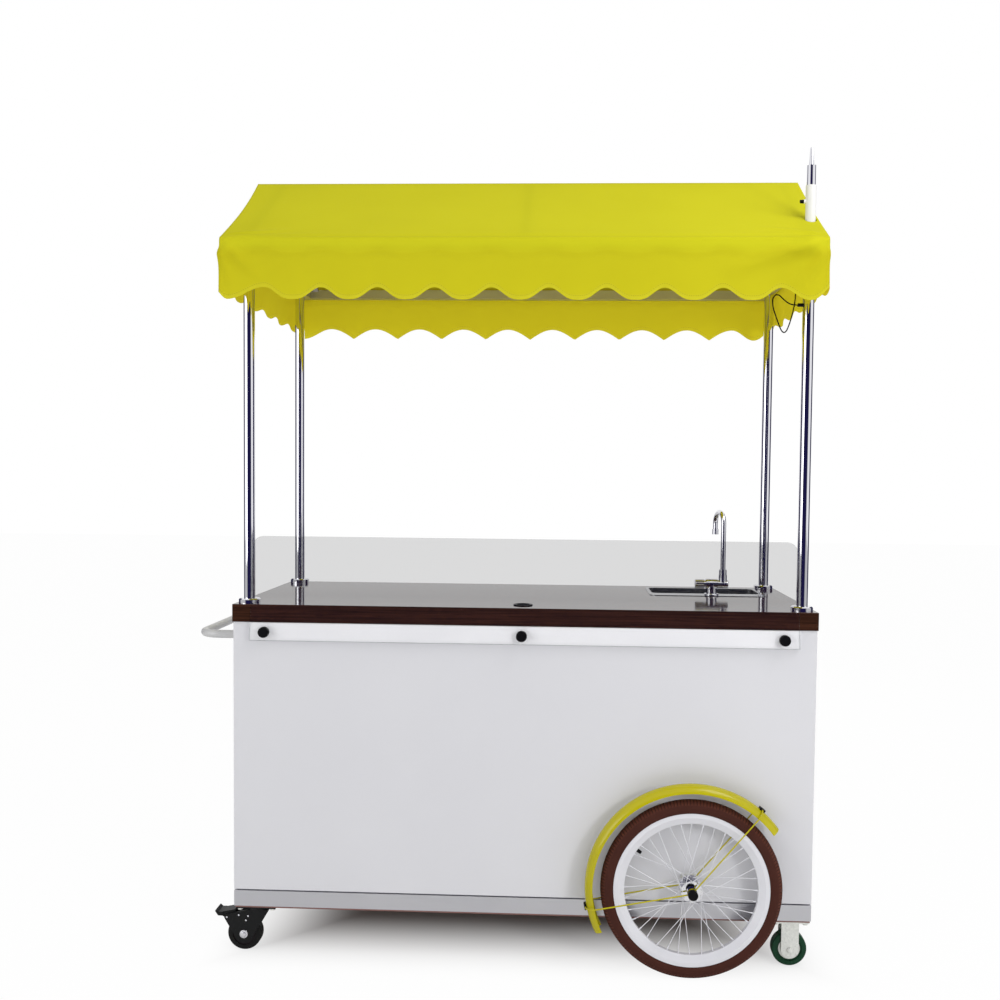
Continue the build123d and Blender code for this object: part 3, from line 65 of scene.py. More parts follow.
def linear(hex_colour: str) -> tuple[float, float, float, float]:
    """Turns an sRGB hex colour into linear values.

    Args:
        hex_colour: six hex digits, with or without a leading hash.

    Returns:
        Red, green, blue and an alpha of 1.
    """
    digits = hex_colour.lstrip("#")
    shares = [int(digits[start:start + 2], 16) / 255 for start in (0, 2, 4)]
    red, green, blue = (s / 12.92 if s <= 0.04045 else ((s + 0.055) / 1.055) ** 2.4 for s in shares)
    return red, green, blue, 1.0


def add_node(tree: bpy.types.NodeTree, kind: str, inputs: Inputs | None = None, **settings: object) -> bpy.types.Node:
    """Adds a node with its settings, and links or sets its sockets.

    Args:
        tree: the material's or world's node tree.
        kind: the node's type name.
        inputs: socket names or numbers with a constant, or with the output socket that feeds them.
        settings: the node's own properties.

    Returns:
        The new node.
    """
    node = tree.nodes.new(kind)
    for name, value in settings.items():
        setattr(node, name, value)
    for name, value in (inputs or {}).items():
        if isinstance(value, bpy.types.NodeSocket):
            tree.links.new(value, node.inputs[name])
        else:
            node.inputs[name].default_value = value
    return node


def per_metre(size_mm: float) -> float:
    """Returns how often a size fits into a metre, which is a pattern's scale."""
    return 1000 / size_mm


def band_scale(pitch_mm: float) -> float:
    """Returns the scale at which a wave texture's bands, a tenth of pi over it, have a pitch."""
    return math.pi / 10 / (pitch_mm * MM)


def around_axle(tree: bpy.types.NodeTree, place: bpy.types.NodeSocket,
                axle: Triple) -> tuple[bpy.types.NodeSocket, bpy.types.NodeSocket]:
    """Reads where a wheel's surface lies about its axle, which runs along Y.

    Args:
        tree: the material's node tree.
        place: the object coordinates.
        axle: a point on the axle.

    Returns:
        The offset from the axle in the wheel's plane, and its length.
    """
    centred = add_node(tree, "ShaderNodeMapping", {"Vector": place, "Location": [-offset for offset in axle]})
    flat = add_node(tree, "ShaderNodeVectorMath", {0: centred.outputs[0], 1: (1.0, 0.0, 1.0)},
                    operation="MULTIPLY").outputs[0]
    return flat, add_node(tree, "ShaderNodeVectorMath", {0: flat}, operation="LENGTH").outputs["Value"]


def clear_material(name: str) -> bpy.types.Material:
    """Makes a material with no nodes yet.

    Args:
        name: the material's name.

    Returns:
        The new material.
    """
    made = bpy.data.materials.new(name)
    made.use_nodes = True
    made.node_tree.nodes.clear()
    return made


def place_object(name: str, data: bpy.types.ID) -> bpy.types.Object:
    """Puts a new object into the scene.

    Args:
        name: the object's name.
        data: its mesh, curve, lamp or camera.

    Returns:
        The new object.
    """
    made = bpy.data.objects.new(name, data)
    bpy.context.collection.objects.link(made)
    return made


def place_mesh(mesh: bmesh.types.BMesh, name: str, paint: bpy.types.Material) -> bpy.types.Object:
    """Turns a bmesh into an object with a material.

    Args:
        mesh: the mesh, which is freed.
        name: the object's name.
        paint: its material.

    Returns:
        The new object.
    """
    data = bpy.data.meshes.new(name)
    mesh.to_mesh(data)
    mesh.free()
    data.materials.append(paint)
    return place_object(name, data)


def smooth_step(low: float, high: float, value: float) -> float:
    """Eases from 0 at low to 1 at high.

    Args:
        low: where the step starts.
        high: where the step is complete.
        value: the place to read.

    Returns:
        A share from 0 to 1.
    """
    share = min(max((value - low) / (high - low), 0.0), 1.0)
    return share * share * (3 - 2 * share)


class Grain(Enum):
    """The direction that making a piece leaves in its finest marks, as lengths along X, Y and Z."""

    NONE = (1.0, 1.0, 1.0)
    ALONG_X = (90.0, 1.0, 1.0)
    ALONG_Z = (1.0, 1.0, 90.0)


@dataclass(frozen=True)
class Finish:
    """A surface whose colour drifts slowly and whose fine marks set its bump and roughness."""

    name: str
    colour: str
    shade: str
    roughness: float
    metallic: float = 0.0
    ior: float = 1.5
    specular: float = 0.5
    grain: Grain = Grain.NONE
    mark_mm: float = 1.2
    mark_depth_mm: float = 0.02
    rough_spread: float = 0.08
    least_rough: float = 0.02
    drift_mm: float = 240.0
    coat: float = 0.0

    def material(self) -> bpy.types.Material:
        """Builds this finish's material on first use.

        Returns:
            The material.
        """
        made = bpy.data.materials.get(self.name)
        if made is None:
            made = clear_material(self.name)
            tree = made.node_tree
            place = add_node(tree, "ShaderNodeTexCoord").outputs["Object"]
            add_node(tree, "ShaderNodeOutputMaterial", {"Surface": self.shader(tree, place)})
        return made

    def shader(self, tree: bpy.types.NodeTree, place: bpy.types.NodeSocket) -> bpy.types.NodeSocket:
        """Builds the shader.

        Args:
            tree: the material's node tree.
            place: the object coordinates.

        Returns:
            The shader's output.
        """
        inputs = {**self.constants(), **self.surface(tree, place)}
        return add_node(tree, "ShaderNodeBsdfPrincipled", inputs).outputs["BSDF"]

    def constants(self) -> Inputs:
        """Collects the shader values that are the same all over.

        Returns:
            The shader's constant sockets.
        """
        values: Inputs = {"Metallic": self.metallic, "Coat Weight": self.coat}
        if self.metallic < 1:
            values |= {"IOR": self.ior, "Specular IOR Level": self.specular}
        return values

    def surface(self, tree: bpy.types.NodeTree, place: bpy.types.NodeSocket) -> Inputs:
        """Builds what varies over the surface.

        Args:
            tree: the material's node tree.
            place: the object coordinates.

        Returns:
            The shader's linked sockets.
        """
        drift = add_node(tree, "ShaderNodeTexNoise", {
            "Vector": place, "Scale": per_metre(self.drift_mm), "Detail": 3.0})
        tint = add_node(tree, "ShaderNodeMix", {0: drift.outputs[0], 6: linear(self.shade), 7: linear(self.colour)},
                        data_type="RGBA")
        sizes = [per_metre(self.mark_mm * stretch) for stretch in self.grain.value]
        grid = add_node(tree, "ShaderNodeMapping", {"Vector": place, "Scale": sizes})
        marks = add_node(tree, "ShaderNodeTexNoise", {"Vector": grid.outputs[0], "Scale": 1.0, "Detail": 2.0})
        rough = add_node(tree, "ShaderNodeMapRange", {
            "Value": marks.outputs[0], "To Min": max(self.roughness - self.rough_spread, self.least_rough),
            "To Max": self.roughness + self.rough_spread})
        bump = add_node(tree, "ShaderNodeBump", {"Height": marks.outputs[0], "Distance": self.mark_depth_mm * MM})
        return {"Base Color": tint.outputs[2], "Roughness": rough.outputs[0], "Normal": bump.outputs[0]}


@dataclass(frozen=True)
class CanopyCloth(Finish):
    """Coated polyester: a woven ground under a thin satin coat, with a turned and stitched hem."""

    thread_mm: float = 2.6
    weave_depth_mm: float = 0.12
    hem_mm: float = 13.0
    hem_fade_mm: float = 1.5
    hem_colour: str = "#D2CF2C"
    stitch_mm: float = 6.0
    stitch_half_mm: float = 0.8
    stitch: str = "#9C9612"
    single_from: Pair = (0.12, 0.26)
    through: Pair = (0.12, 0.32)
    through_colour: str = "#EED628"

    def shader(self, tree: bpy.types.NodeTree, place: bpy.types.NodeSocket) -> bpy.types.NodeSocket:
        """Builds the face and the light that the thin cloth lets through.

        Args:
            tree: the material's node tree.
            place: the object coordinates.

        Returns:
            The shader's output.
        """
        glow = add_node(tree, "ShaderNodeBsdfTranslucent", {"Color": linear(self.through_colour)})
        # The roof is laid double over the rafters, and the valances hang single and let more light through.
        hang = add_node(tree, "ShaderNodeAttribute", attribute_name="hang").outputs["Fac"]
        share = add_node(tree, "ShaderNodeMapRange", {
            "Value": hang, "From Min": self.single_from[0], "From Max": self.single_from[1],
            "To Min": self.through[0], "To Max": self.through[1]})
        return add_node(tree, "ShaderNodeMixShader", {
            0: share.outputs[0], 1: super().shader(tree, place), 2: glow.outputs[0]}).outputs[0]

    def surface(self, tree: bpy.types.NodeTree, place: bpy.types.NodeSocket) -> Inputs:
        """Builds the weave, the hem band and its stitches.

        Args:
            tree: the material's node tree.
            place: the object coordinates.

        Returns:
            The shader's linked sockets.
        """
        inputs = super().surface(tree, place)
        cloth = add_node(tree, "ShaderNodeUVMap", uv_map="cloth").outputs[0]
        # Real threads are 0.5 mm apart, which no pixel shows, so the weave is drawn about five times coarser.
        threads = {"Vector": cloth, "Scale": band_scale(self.thread_mm)}
        warp = add_node(tree, "ShaderNodeTexWave", threads, bands_direction="X")
        weft = add_node(tree, "ShaderNodeTexWave", threads, bands_direction="Y")
        weave = add_node(tree, "ShaderNodeMath", {0: warp.outputs[1], 1: weft.outputs[1]}, operation="MULTIPLY")
        hem = add_node(tree, "ShaderNodeAttribute", attribute_name="hem").outputs["Fac"]
        band = add_node(tree, "ShaderNodeMapRange", {
            "Value": hem, "From Min": self.hem_mm * MM, "From Max": (self.hem_mm + self.hem_fade_mm) * MM,
            "To Min": 1.0, "To Max": 0.0})
        edged = add_node(tree, "ShaderNodeMix", {
            0: band.outputs[0], 6: inputs["Base Color"], 7: linear(self.hem_colour)}, data_type="RGBA")
        line = add_node(tree, "ShaderNodeMath", {
            0: hem, 1: (self.hem_mm - self.hem_fade_mm) * MM, 2: self.stitch_half_mm * MM}, operation="COMPARE")
        dashes = add_node(tree, "ShaderNodeTexWave", {"Vector": cloth, "Scale": band_scale(self.stitch_mm)},
                          bands_direction="X")
        sewn = add_node(tree, "ShaderNodeMath", {0: line.outputs[0], 1: dashes.outputs[1]}, operation="MULTIPLY")
        colour = add_node(tree, "ShaderNodeMix", {
            0: sewn.outputs[0], 6: edged.outputs[2], 7: linear(self.stitch)}, data_type="RGBA")
        raised = add_node(tree, "ShaderNodeMath", {0: weave.outputs[0], 1: sewn.outputs[0]}, operation="SUBTRACT")
        woven = add_node(tree, "ShaderNodeBump", {
            "Height": raised.outputs[0], "Distance": self.weave_depth_mm * MM, "Normal": inputs["Normal"]})
        return {**inputs, "Base Color": colour.outputs[2], "Normal": woven.outputs[0]}


@dataclass(frozen=True)
class WengeLaminate(Finish):
    """Gloss laminate with a wenge print: long dark streaks along X under a hard clear face."""

    streak_mm: Triple = (260.0, 4.0, 4.0)
    pore_mm: Triple = (45.0, 1.6, 1.6)
    streak_from: Pair = (0.35, 0.65)
    pore: str = "#1A0E08"
    pore_from: Pair = (0.58, 0.7)
    pore_share: float = 0.7

    def surface(self, tree: bpy.types.NodeTree, place: bpy.types.NodeSocket) -> Inputs:
        """Builds the streaks and pores of the wood print.

        Args:
            tree: the material's node tree.
            place: the object coordinates.

        Returns:
            The shader's linked sockets.
        """
        inputs = super().surface(tree, place)
        layers = []
        for sizes in (self.streak_mm, self.pore_mm):
            scale = [per_metre(size) for size in sizes]
            grid = add_node(tree, "ShaderNodeMapping", {"Vector": place, "Scale": scale})
            layers.append(add_node(tree, "ShaderNodeTexNoise", {
                "Vector": grid.outputs[0], "Scale": 1.0, "Detail": 5.0, "Distortion": 0.6}))
        streaks = add_node(tree, "ShaderNodeMapRange", {
            "Value": layers[0].outputs[0], "From Min": self.streak_from[0], "From Max": self.streak_from[1]})
        wood = add_node(tree, "ShaderNodeMix", {
            0: streaks.outputs[0], 6: linear(self.shade), 7: linear(self.colour)}, data_type="RGBA")
        pores = add_node(tree, "ShaderNodeMapRange", {
            "Value": layers[1].outputs[0], "From Min": self.pore_from[0], "From Max": self.pore_from[1],
            "To Max": self.pore_share})
        colour = add_node(tree, "ShaderNodeMix", {
            0: pores.outputs[0], 6: wood.outputs[2], 7: linear(self.pore)}, data_type="RGBA")
        return {**inputs, "Base Color": colour.outputs[2]}


@dataclass(frozen=True)
class TyreRubber(Finish):
    """Red-brown tyre rubber: matt side walls and a tread with fine cross cuts, darkened inside the cuts by painted
    shade.
    """

    axle: Triple = (WHEEL_X, 0.0, WHEEL_R)
    tread_r: float = 0.2405
    tread_fade: float = 0.004
    cuts: int = 170
    cut_depth_mm: float = 0.5
    worn: str = "#5E3225"
    worn_share: float = 0.55
    # Painted shade: the dark colour laid into the tread's cross cuts
    groove: str = "#2A140F"
    cut_shade_from: Pair = (0.3, 0.8)
    cut_shade_share: float = 0.75

    def surface(self, tree: bpy.types.NodeTree, place: bpy.types.NodeSocket) -> Inputs:
        """Builds the cross cuts with painted shade in them, and the paler dust that tread gathers.

        Args:
            tree: the material's node tree.
            place: the object coordinates.

        Returns:
            The shader's linked sockets.
        """
        inputs = super().surface(tree, place)
        flat, radius = around_axle(tree, place, self.axle)
        parts = add_node(tree, "ShaderNodeSeparateXYZ", {0: flat})
        turn = add_node(tree, "ShaderNodeMath", {0: parts.outputs[2], 1: parts.outputs[0]}, operation="ARCTAN2")
        spread = add_node(tree, "ShaderNodeMath", {0: turn.outputs[0], 1: float(self.cuts)}, operation="MULTIPLY")
        blocks = add_node(tree, "ShaderNodeMath", {0: spread.outputs[0]}, operation="SINE")
        tread = add_node(tree, "ShaderNodeMapRange", {
            "Value": radius, "From Min": self.tread_r, "From Max": self.tread_r + self.tread_fade})
        cut = add_node(tree, "ShaderNodeMath", {0: blocks.outputs[0], 1: tread.outputs[0]}, operation="MULTIPLY")
        dust = add_node(tree, "ShaderNodeMath", {0: tread.outputs[0], 1: self.worn_share}, operation="MULTIPLY")
        dusty = add_node(tree, "ShaderNodeMix", {
            0: dust.outputs[0], 6: inputs["Base Color"], 7: linear(self.worn)}, data_type="RGBA")
        # Painted shade: the tread darkens towards the groove colour inside its cuts
        depth = add_node(tree, "ShaderNodeMapRange", {
            "Value": cut.outputs[0], "From Min": self.cut_shade_from[0], "From Max": self.cut_shade_from[1],
            "To Max": self.cut_shade_share})
        colour = add_node(tree, "ShaderNodeMix", {
            0: depth.outputs[0], 6: dusty.outputs[2], 7: linear(self.groove)}, data_type="RGBA")
        grip = add_node(tree, "ShaderNodeBump", {
            "Height": cut.outputs[0], "Distance": self.cut_depth_mm * MM, "Normal": inputs["Normal"]})
        return {**inputs, "Base Color": colour.outputs[2], "Normal": grip.outputs[0]}


@dataclass(frozen=True)
class CasterRings(Finish):
    """A caster wheel in rings about its axle: plated hub, moulded core and softer tread."""

    axle: Triple = (RIGID_X, 0.0, CASTER_R)
    hub_r: float = 0.013
    core_r: float = 0.036
    hub: str = "#B4B4AE"
    core: str = "#1F4034"

    def surface(self, tree: bpy.types.NodeTree, place: bpy.types.NodeSocket) -> Inputs:
        """Builds the three rings.

        Args:
            tree: the material's node tree.
            place: the object coordinates.

        Returns:
            The shader's linked sockets.
        """
        inputs = super().surface(tree, place)
        _, radius = around_axle(tree, place, self.axle)
        colour = inputs["Base Color"]
        for edge, paint in ((self.core_r, self.core), (self.hub_r, self.hub)):
            ring = add_node(tree, "ShaderNodeMath", {0: radius, 1: edge}, operation="LESS_THAN")
            colour = add_node(tree, "ShaderNodeMix", {0: ring.outputs[0], 6: colour, 7: linear(paint)},
                              data_type="RGBA").outputs[2]
        plated = add_node(tree, "ShaderNodeMath", {0: radius, 1: self.hub_r}, operation="LESS_THAN")
        return {**inputs, "Base Color": colour, "Metallic": plated.outputs[0]}


@dataclass(frozen=True)
class ClearAcrylic(Finish):
    """Cast acrylic sheet: polished faces, clear at the clamp, with painted shade as a grey tint above the counter and
    on its cut edges.
    """

    # Painted shade: the grey tint the sheet gets above the counter
    above_counter_shade: str = "#F1F1F1"
    above_counter_shade_from: float = 1.0
    above_counter_shade_to: float = 1.06
    # Painted shade of the cut edges
    edge: str = "#A9AFAE"
    edge_shade_fade: Pair = (0.5, 0.95)

    def shader(self, tree: bpy.types.NodeTree, place: bpy.types.NodeSocket) -> bpy.types.NodeSocket:
        """Builds a clear face that mirrors as much as its index gives.

        Args:
            tree: the material's node tree.
            place: the object coordinates.

        Returns:
            The shader's output.
        """
        face = self.surface(tree, place)
        # Painted shade: above the counter top the sheet is tinted grey rather than clear
        height = add_node(tree, "ShaderNodeSeparateXYZ", {0: place}).outputs["Z"]
        worn = add_node(tree, "ShaderNodeMapRange", {
            "Value": height, "From Min": self.above_counter_shade_from, "From Max": self.above_counter_shade_to})
        tint = add_node(tree, "ShaderNodeMix", {
            0: worn.outputs[0], 6: face["Base Color"], 7: linear(self.above_counter_shade)}, data_type="RGBA")
        # Painted shade: the cut edges are tinted darker than the faces, standing in for the light that the edge
        # carries along the sheet.
        facing = add_node(tree, "ShaderNodeSeparateXYZ", {
            0: add_node(tree, "ShaderNodeTexCoord").outputs["Normal"]}).outputs["Y"]
        flat = add_node(tree, "ShaderNodeMath", {0: facing}, operation="ABSOLUTE")
        faced = add_node(tree, "ShaderNodeMapRange", {
            "Value": flat.outputs[0], "From Min": self.edge_shade_fade[0], "From Max": self.edge_shade_fade[1]})
        cut = add_node(tree, "ShaderNodeMix", {
            0: faced.outputs[0], 6: linear(self.edge), 7: tint.outputs[2]}, data_type="RGBA")
        clear = add_node(tree, "ShaderNodeBsdfTransparent", {"Color": cut.outputs[2]})
        mirror = add_node(tree, "ShaderNodeBsdfAnisotropic", {
            "Roughness": face["Roughness"], "Normal": face["Normal"]})
        # A fifth power of the slant, because the node made for it mirrors all the light that leaves the sheet aslant.
        slant = add_node(tree, "ShaderNodeLayerWeight", {"Blend": 0.5, "Normal": face["Normal"]})
        grazing = add_node(tree, "ShaderNodeMath", {0: slant.outputs["Facing"], 1: 5.0}, operation="POWER")
        share = add_node(tree, "ShaderNodeMapRange", {
            "Value": grazing.outputs[0], "To Min": ((self.ior - 1) / (self.ior + 1)) ** 2, "To Max": 1.0})
        return add_node(tree, "ShaderNodeMixShader", {
            0: share.outputs[0], 1: clear.outputs[0], 2: mirror.outputs[0]}).outputs[0]


@dataclass(frozen=True)
class ZincPlate(Finish):
    """Zinc plate on pressed steel: small crystals that catch the light one by one."""

    crystal_mm: float = 5.0

    def surface(self, tree: bpy.types.NodeTree, place: bpy.types.NodeSocket) -> Inputs:
        """Builds the crystals.

        Args:
            tree: the material's node tree.
            place: the object coordinates.

        Returns:
            The shader's linked sockets.
        """
        inputs = super().surface(tree, place)
        crystals = add_node(tree, "ShaderNodeTexVoronoi", {"Vector": place, "Scale": per_metre(self.crystal_mm)})
        grey = add_node(tree, "ShaderNodeRGBToBW", {0: crystals.outputs["Color"]})
        colour = add_node(tree, "ShaderNodeMix", {
            0: grey.outputs[0], 6: linear(self.shade), 7: linear(self.colour)}, data_type="RGBA")
        return {**inputs, "Base Color": colour.outputs[2]}


FINISHES: dict[str, Finish] = {
    # Birch plywood under a rolled phenolic film: a dull brown face with faint blotches
    "film_plywood": Finish("film_faced_plywood", "#8E6660", "#7E564F", 0.5, mark_mm=2.0),
    # Aluminium, drawn, brushed along its length and anodised: soft highlights that run with the rail
    "trim_aluminium": Finish("anodised_aluminium", "#CFCFD3", "#C2C2C7", 0.36, 1.0, grain=Grain.ALONG_X,
                             mark_mm=0.9, mark_depth_mm=0.008),
    # Melamine paper pressed on board with a suede plate: an even white with a soft sheen
    "panel_board": Finish("white_melamine_board", "#D6D6DA", "#CFCFD4", 0.38, mark_mm=1.6, mark_depth_mm=0.01,
                          drift_mm=420.0),
    # Printed laminate pressed against a polished plate: dark wood streaks under a face that mirrors
    "counter_laminate": WengeLaminate("gloss_wenge_laminate", "#40261A", "#2B1910", 0.09, ior=1.32,
                                      rough_spread=0.02, mark_depth_mm=0.002, mark_mm=14.0),
    # Stainless steel, pressed and brushed along the bowl: highlights that smear across the brushing
    "sink_steel": Finish("brushed_stainless_steel", "#B0B0B2", "#A4A4A7", 0.26, 1.0, grain=Grain.ALONG_X,
                         mark_mm=0.8, mark_depth_mm=0.006),
    # Chrome plated on polished steel: a mirror with a slight waviness
    "chrome": Finish("polished_chrome", "#E6E6EA", "#DEDEE4", 0.05, 1.0, mark_mm=30.0, mark_depth_mm=0.0005,
                     rough_spread=0.03),
    # Powder coat baked on bent tube: a soft sheen broken by a fine orange peel
    "handle_coat": Finish("light_grey_powder_coat", "#C9C9C9", "#C0C0C1", 0.34, mark_mm=2.4, mark_depth_mm=0.03),
    # Acrylic cast between glass plates: clear, mirror-smooth faces, with painted shade as a grey tint above the
    # counter and on the darker cut edges
    "clear_sheet": ClearAcrylic("clear_cast_acrylic", "#FFFFFF", "#FDFDFD", 0.03, ior=1.49, rough_spread=0.01,
                                mark_mm=60.0, mark_depth_mm=0.003),
    # Sheet metal, rolled flat and sprayed: an even white satin
    "white_strip": Finish("satin_white_paint", "#F8F8FB", "#F4F4F8", 0.32, mark_mm=2.0, mark_depth_mm=0.01),
    # ABS moulded in a spark-eroded tool: a deep black with a fine dull grain
    "black_plastic": Finish("black_moulded_abs", "#0B0B0F", "#07070A", 0.42, specular=0.1, mark_mm=0.9,
                            mark_depth_mm=0.03, drift_mm=60.0),
    # Nylon, moulded: a waxy grey
    "washer_nylon": Finish("grey_nylon", "#BEBEC2", "#B0B0B5", 0.45, drift_mm=30.0),
    # Polyester, woven, coated and sewn: a matt yellow with a faint weave, which daylight comes through
    "canopy_fabric": CanopyCloth("yellow_coated_polyester", "#D3D023", "#CAC61F", 0.8, specular=0.05, mark_mm=9.0,
                                 mark_depth_mm=0.10, drift_mm=320.0),
    # Stainless tube, drawn and polished along its length: blurred streaks of what stands near
    "frame_steel": Finish("polished_stainless_tube", "#C6C2BA", "#B6B1A8", 0.36, 0.6, grain=Grain.ALONG_X,
                          mark_mm=1.2, mark_depth_mm=0.006),
    # PVC, extruded: white with faint lines along the pipe
    "mast_plastic": Finish("white_pvc_pipe", "#EDEDEC", "#E3E3E1", 0.3, grain=Grain.ALONG_Z, mark_depth_mm=0.008),
    # Rubber, extruded over the wires: a dull black
    "cable_rubber": Finish("black_rubber_sheath", "#0E0E0E", "#090909", 0.55, specular=0.1, mark_mm=0.7,
                           drift_mm=40.0),
    # Enamel sprayed and baked on steel: white with sharp highlights and a slight orange peel
    "wheel_white": Finish("gloss_white_enamel", "#DBDBE0", "#D1D1D7", 0.2, mark_mm=3.0, mark_depth_mm=0.02,
                          coat=0.4, drift_mm=90.0),
    # Rubber moulded in a ribbed tool: a dull red-brown, paler where the tread gathers dust, with painted shade in its
    # cross cuts
    "tyre_rubber": TyreRubber("red_brown_tyre_rubber", "#47231A", "#391B14", 0.75, specular=0.2, mark_mm=1.1,
                              mark_depth_mm=0.06, drift_mm=70.0),
    # Enamel on rolled steel: a clear yellow with sharp, slightly wavy highlights
    "guard_yellow": Finish("gloss_yellow_enamel", "#B9B010", "#ADA30C", 0.11, specular=0.3, mark_mm=3.5,
                           mark_depth_mm=0.012, drift_mm=160.0),
    # Zinc plated on pressed steel: a pale grey whose crystals catch the light one by one
    "zinc_steel": ZincPlate("zinc_plated_steel", "#EEEFEA", "#DCDDD8", 0.38, 0.6, mark_mm=1.0, mark_depth_mm=0.01),
    # Pressed steel, dipped in black: a thick, even coat with soft highlights
    "black_steel": Finish("black_dip_coat", "#0A0B0C", "#060708", 0.4, specular=0.25, mark_mm=2.0,
                          mark_depth_mm=0.03, drift_mm=50.0),
    # Rubber moulded round a core with a plated hub: dull black rings with a bright middle
    "black_rubber": CasterRings("black_caster_wheel", "#0B0B0B", "#070707", 0.5, specular=0.25,
                                axle=(SWIVEL_X, 0.0, CASTER_R), core="#181214", hub="#B8B8B8", hub_r=0.009,
                                mark_depth_mm=0.03, drift_mm=30.0),
    # Polymer cast round a plated hub: a deep green tread with a soft sheen
    "green_polymer": CasterRings("green_caster_wheel", "#123F28", "#0D321E", 0.42, specular=0.2, hub_r=0.031,
                                 core_r=0.032, hub="#E0E1DC", core="#12301F", mark_depth_mm=0.03, drift_mm=30.0),
    # Polyethylene, blow-moulded and left natural: a milky white with soft dents
    "tank_plastic": Finish("natural_polyethylene", "#DEDED4", "#D2D2C6", 0.46, mark_mm=3.0, mark_depth_mm=0.05),
}


def finish_piece(mesh: bmesh.types.BMesh, name: str, body: str, slot: str, nodes: tuple[str, ...] = (),
                 crease_deg: float = 180.0) -> bpy.types.Object:
    """Turns a bmesh into a smooth piece that rides on a body.

    Args:
        mesh: the piece's mesh, which is freed.
        name: the piece's name.
        body: the CAD body that it moves with.
        slot: the record's material slot that gives its finish.
        nodes: the CAD nodes that it stands for.
        crease_deg: the angle past which an edge shows as a crease.

    Returns:
        The new object.
    """
    for face in mesh.faces:
        face.smooth = True
    for edge in mesh.edges:
        edge.smooth = edge.calc_face_angle(0.0) <= math.radians(crease_deg)
    piece = place_mesh(mesh, name, FINISHES[slot].material())
    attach(piece, body)
    if nodes:
        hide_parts(*nodes)
    return piece


@dataclass
class CadFinishes:
    """The finishes of the CAD nodes, by the material slot that the record gives each node."""

    slots: dict[str, str]

    def dress(self) -> int:
        """Gives every CAD node its finish.

        Returns:
            How many nodes there were.
        """
        for name, node in frame["nodes"].items():
            paint = FINISHES[self.slots[name]].material()
            if not node.material_slots:
                node.data.materials.append(paint)
            for place in node.material_slots:
                place.material = paint
        return len(frame["nodes"])


class Hem(Enum):
    """How a valance's lower edge is cut between its notches, as the power that shapes its wave."""

    ROUND = 1.5
    POINTED = 0.5


@dataclass(frozen=True)
class Fold:
    """A soft crease in the cloth between two points, with its height and its half width."""

    start: Triple
    end: Triple
    height: float
    width: float
    rise_share: float = 0.2

    def lift(self, place: Vector) -> float:
        """Reads how far the crease lifts the cloth at a place.

        Args:
            place: a point of the cloth.

        Returns:
            The lift along the cloth's normal, which rises from the crease's start and fades to its end.
        """
        run = Vector(self.end) - Vector(self.start)
        share = min(max((place - Vector(self.start)).dot(run) / run.length_squared, 0.0), 1.0)
        aside = (place - Vector(self.start) - run * share).length
        along = smooth_step(0.0, self.rise_share, share) * (1 - share)
        return self.height * along * math.exp(-(aside / self.width) ** 2)


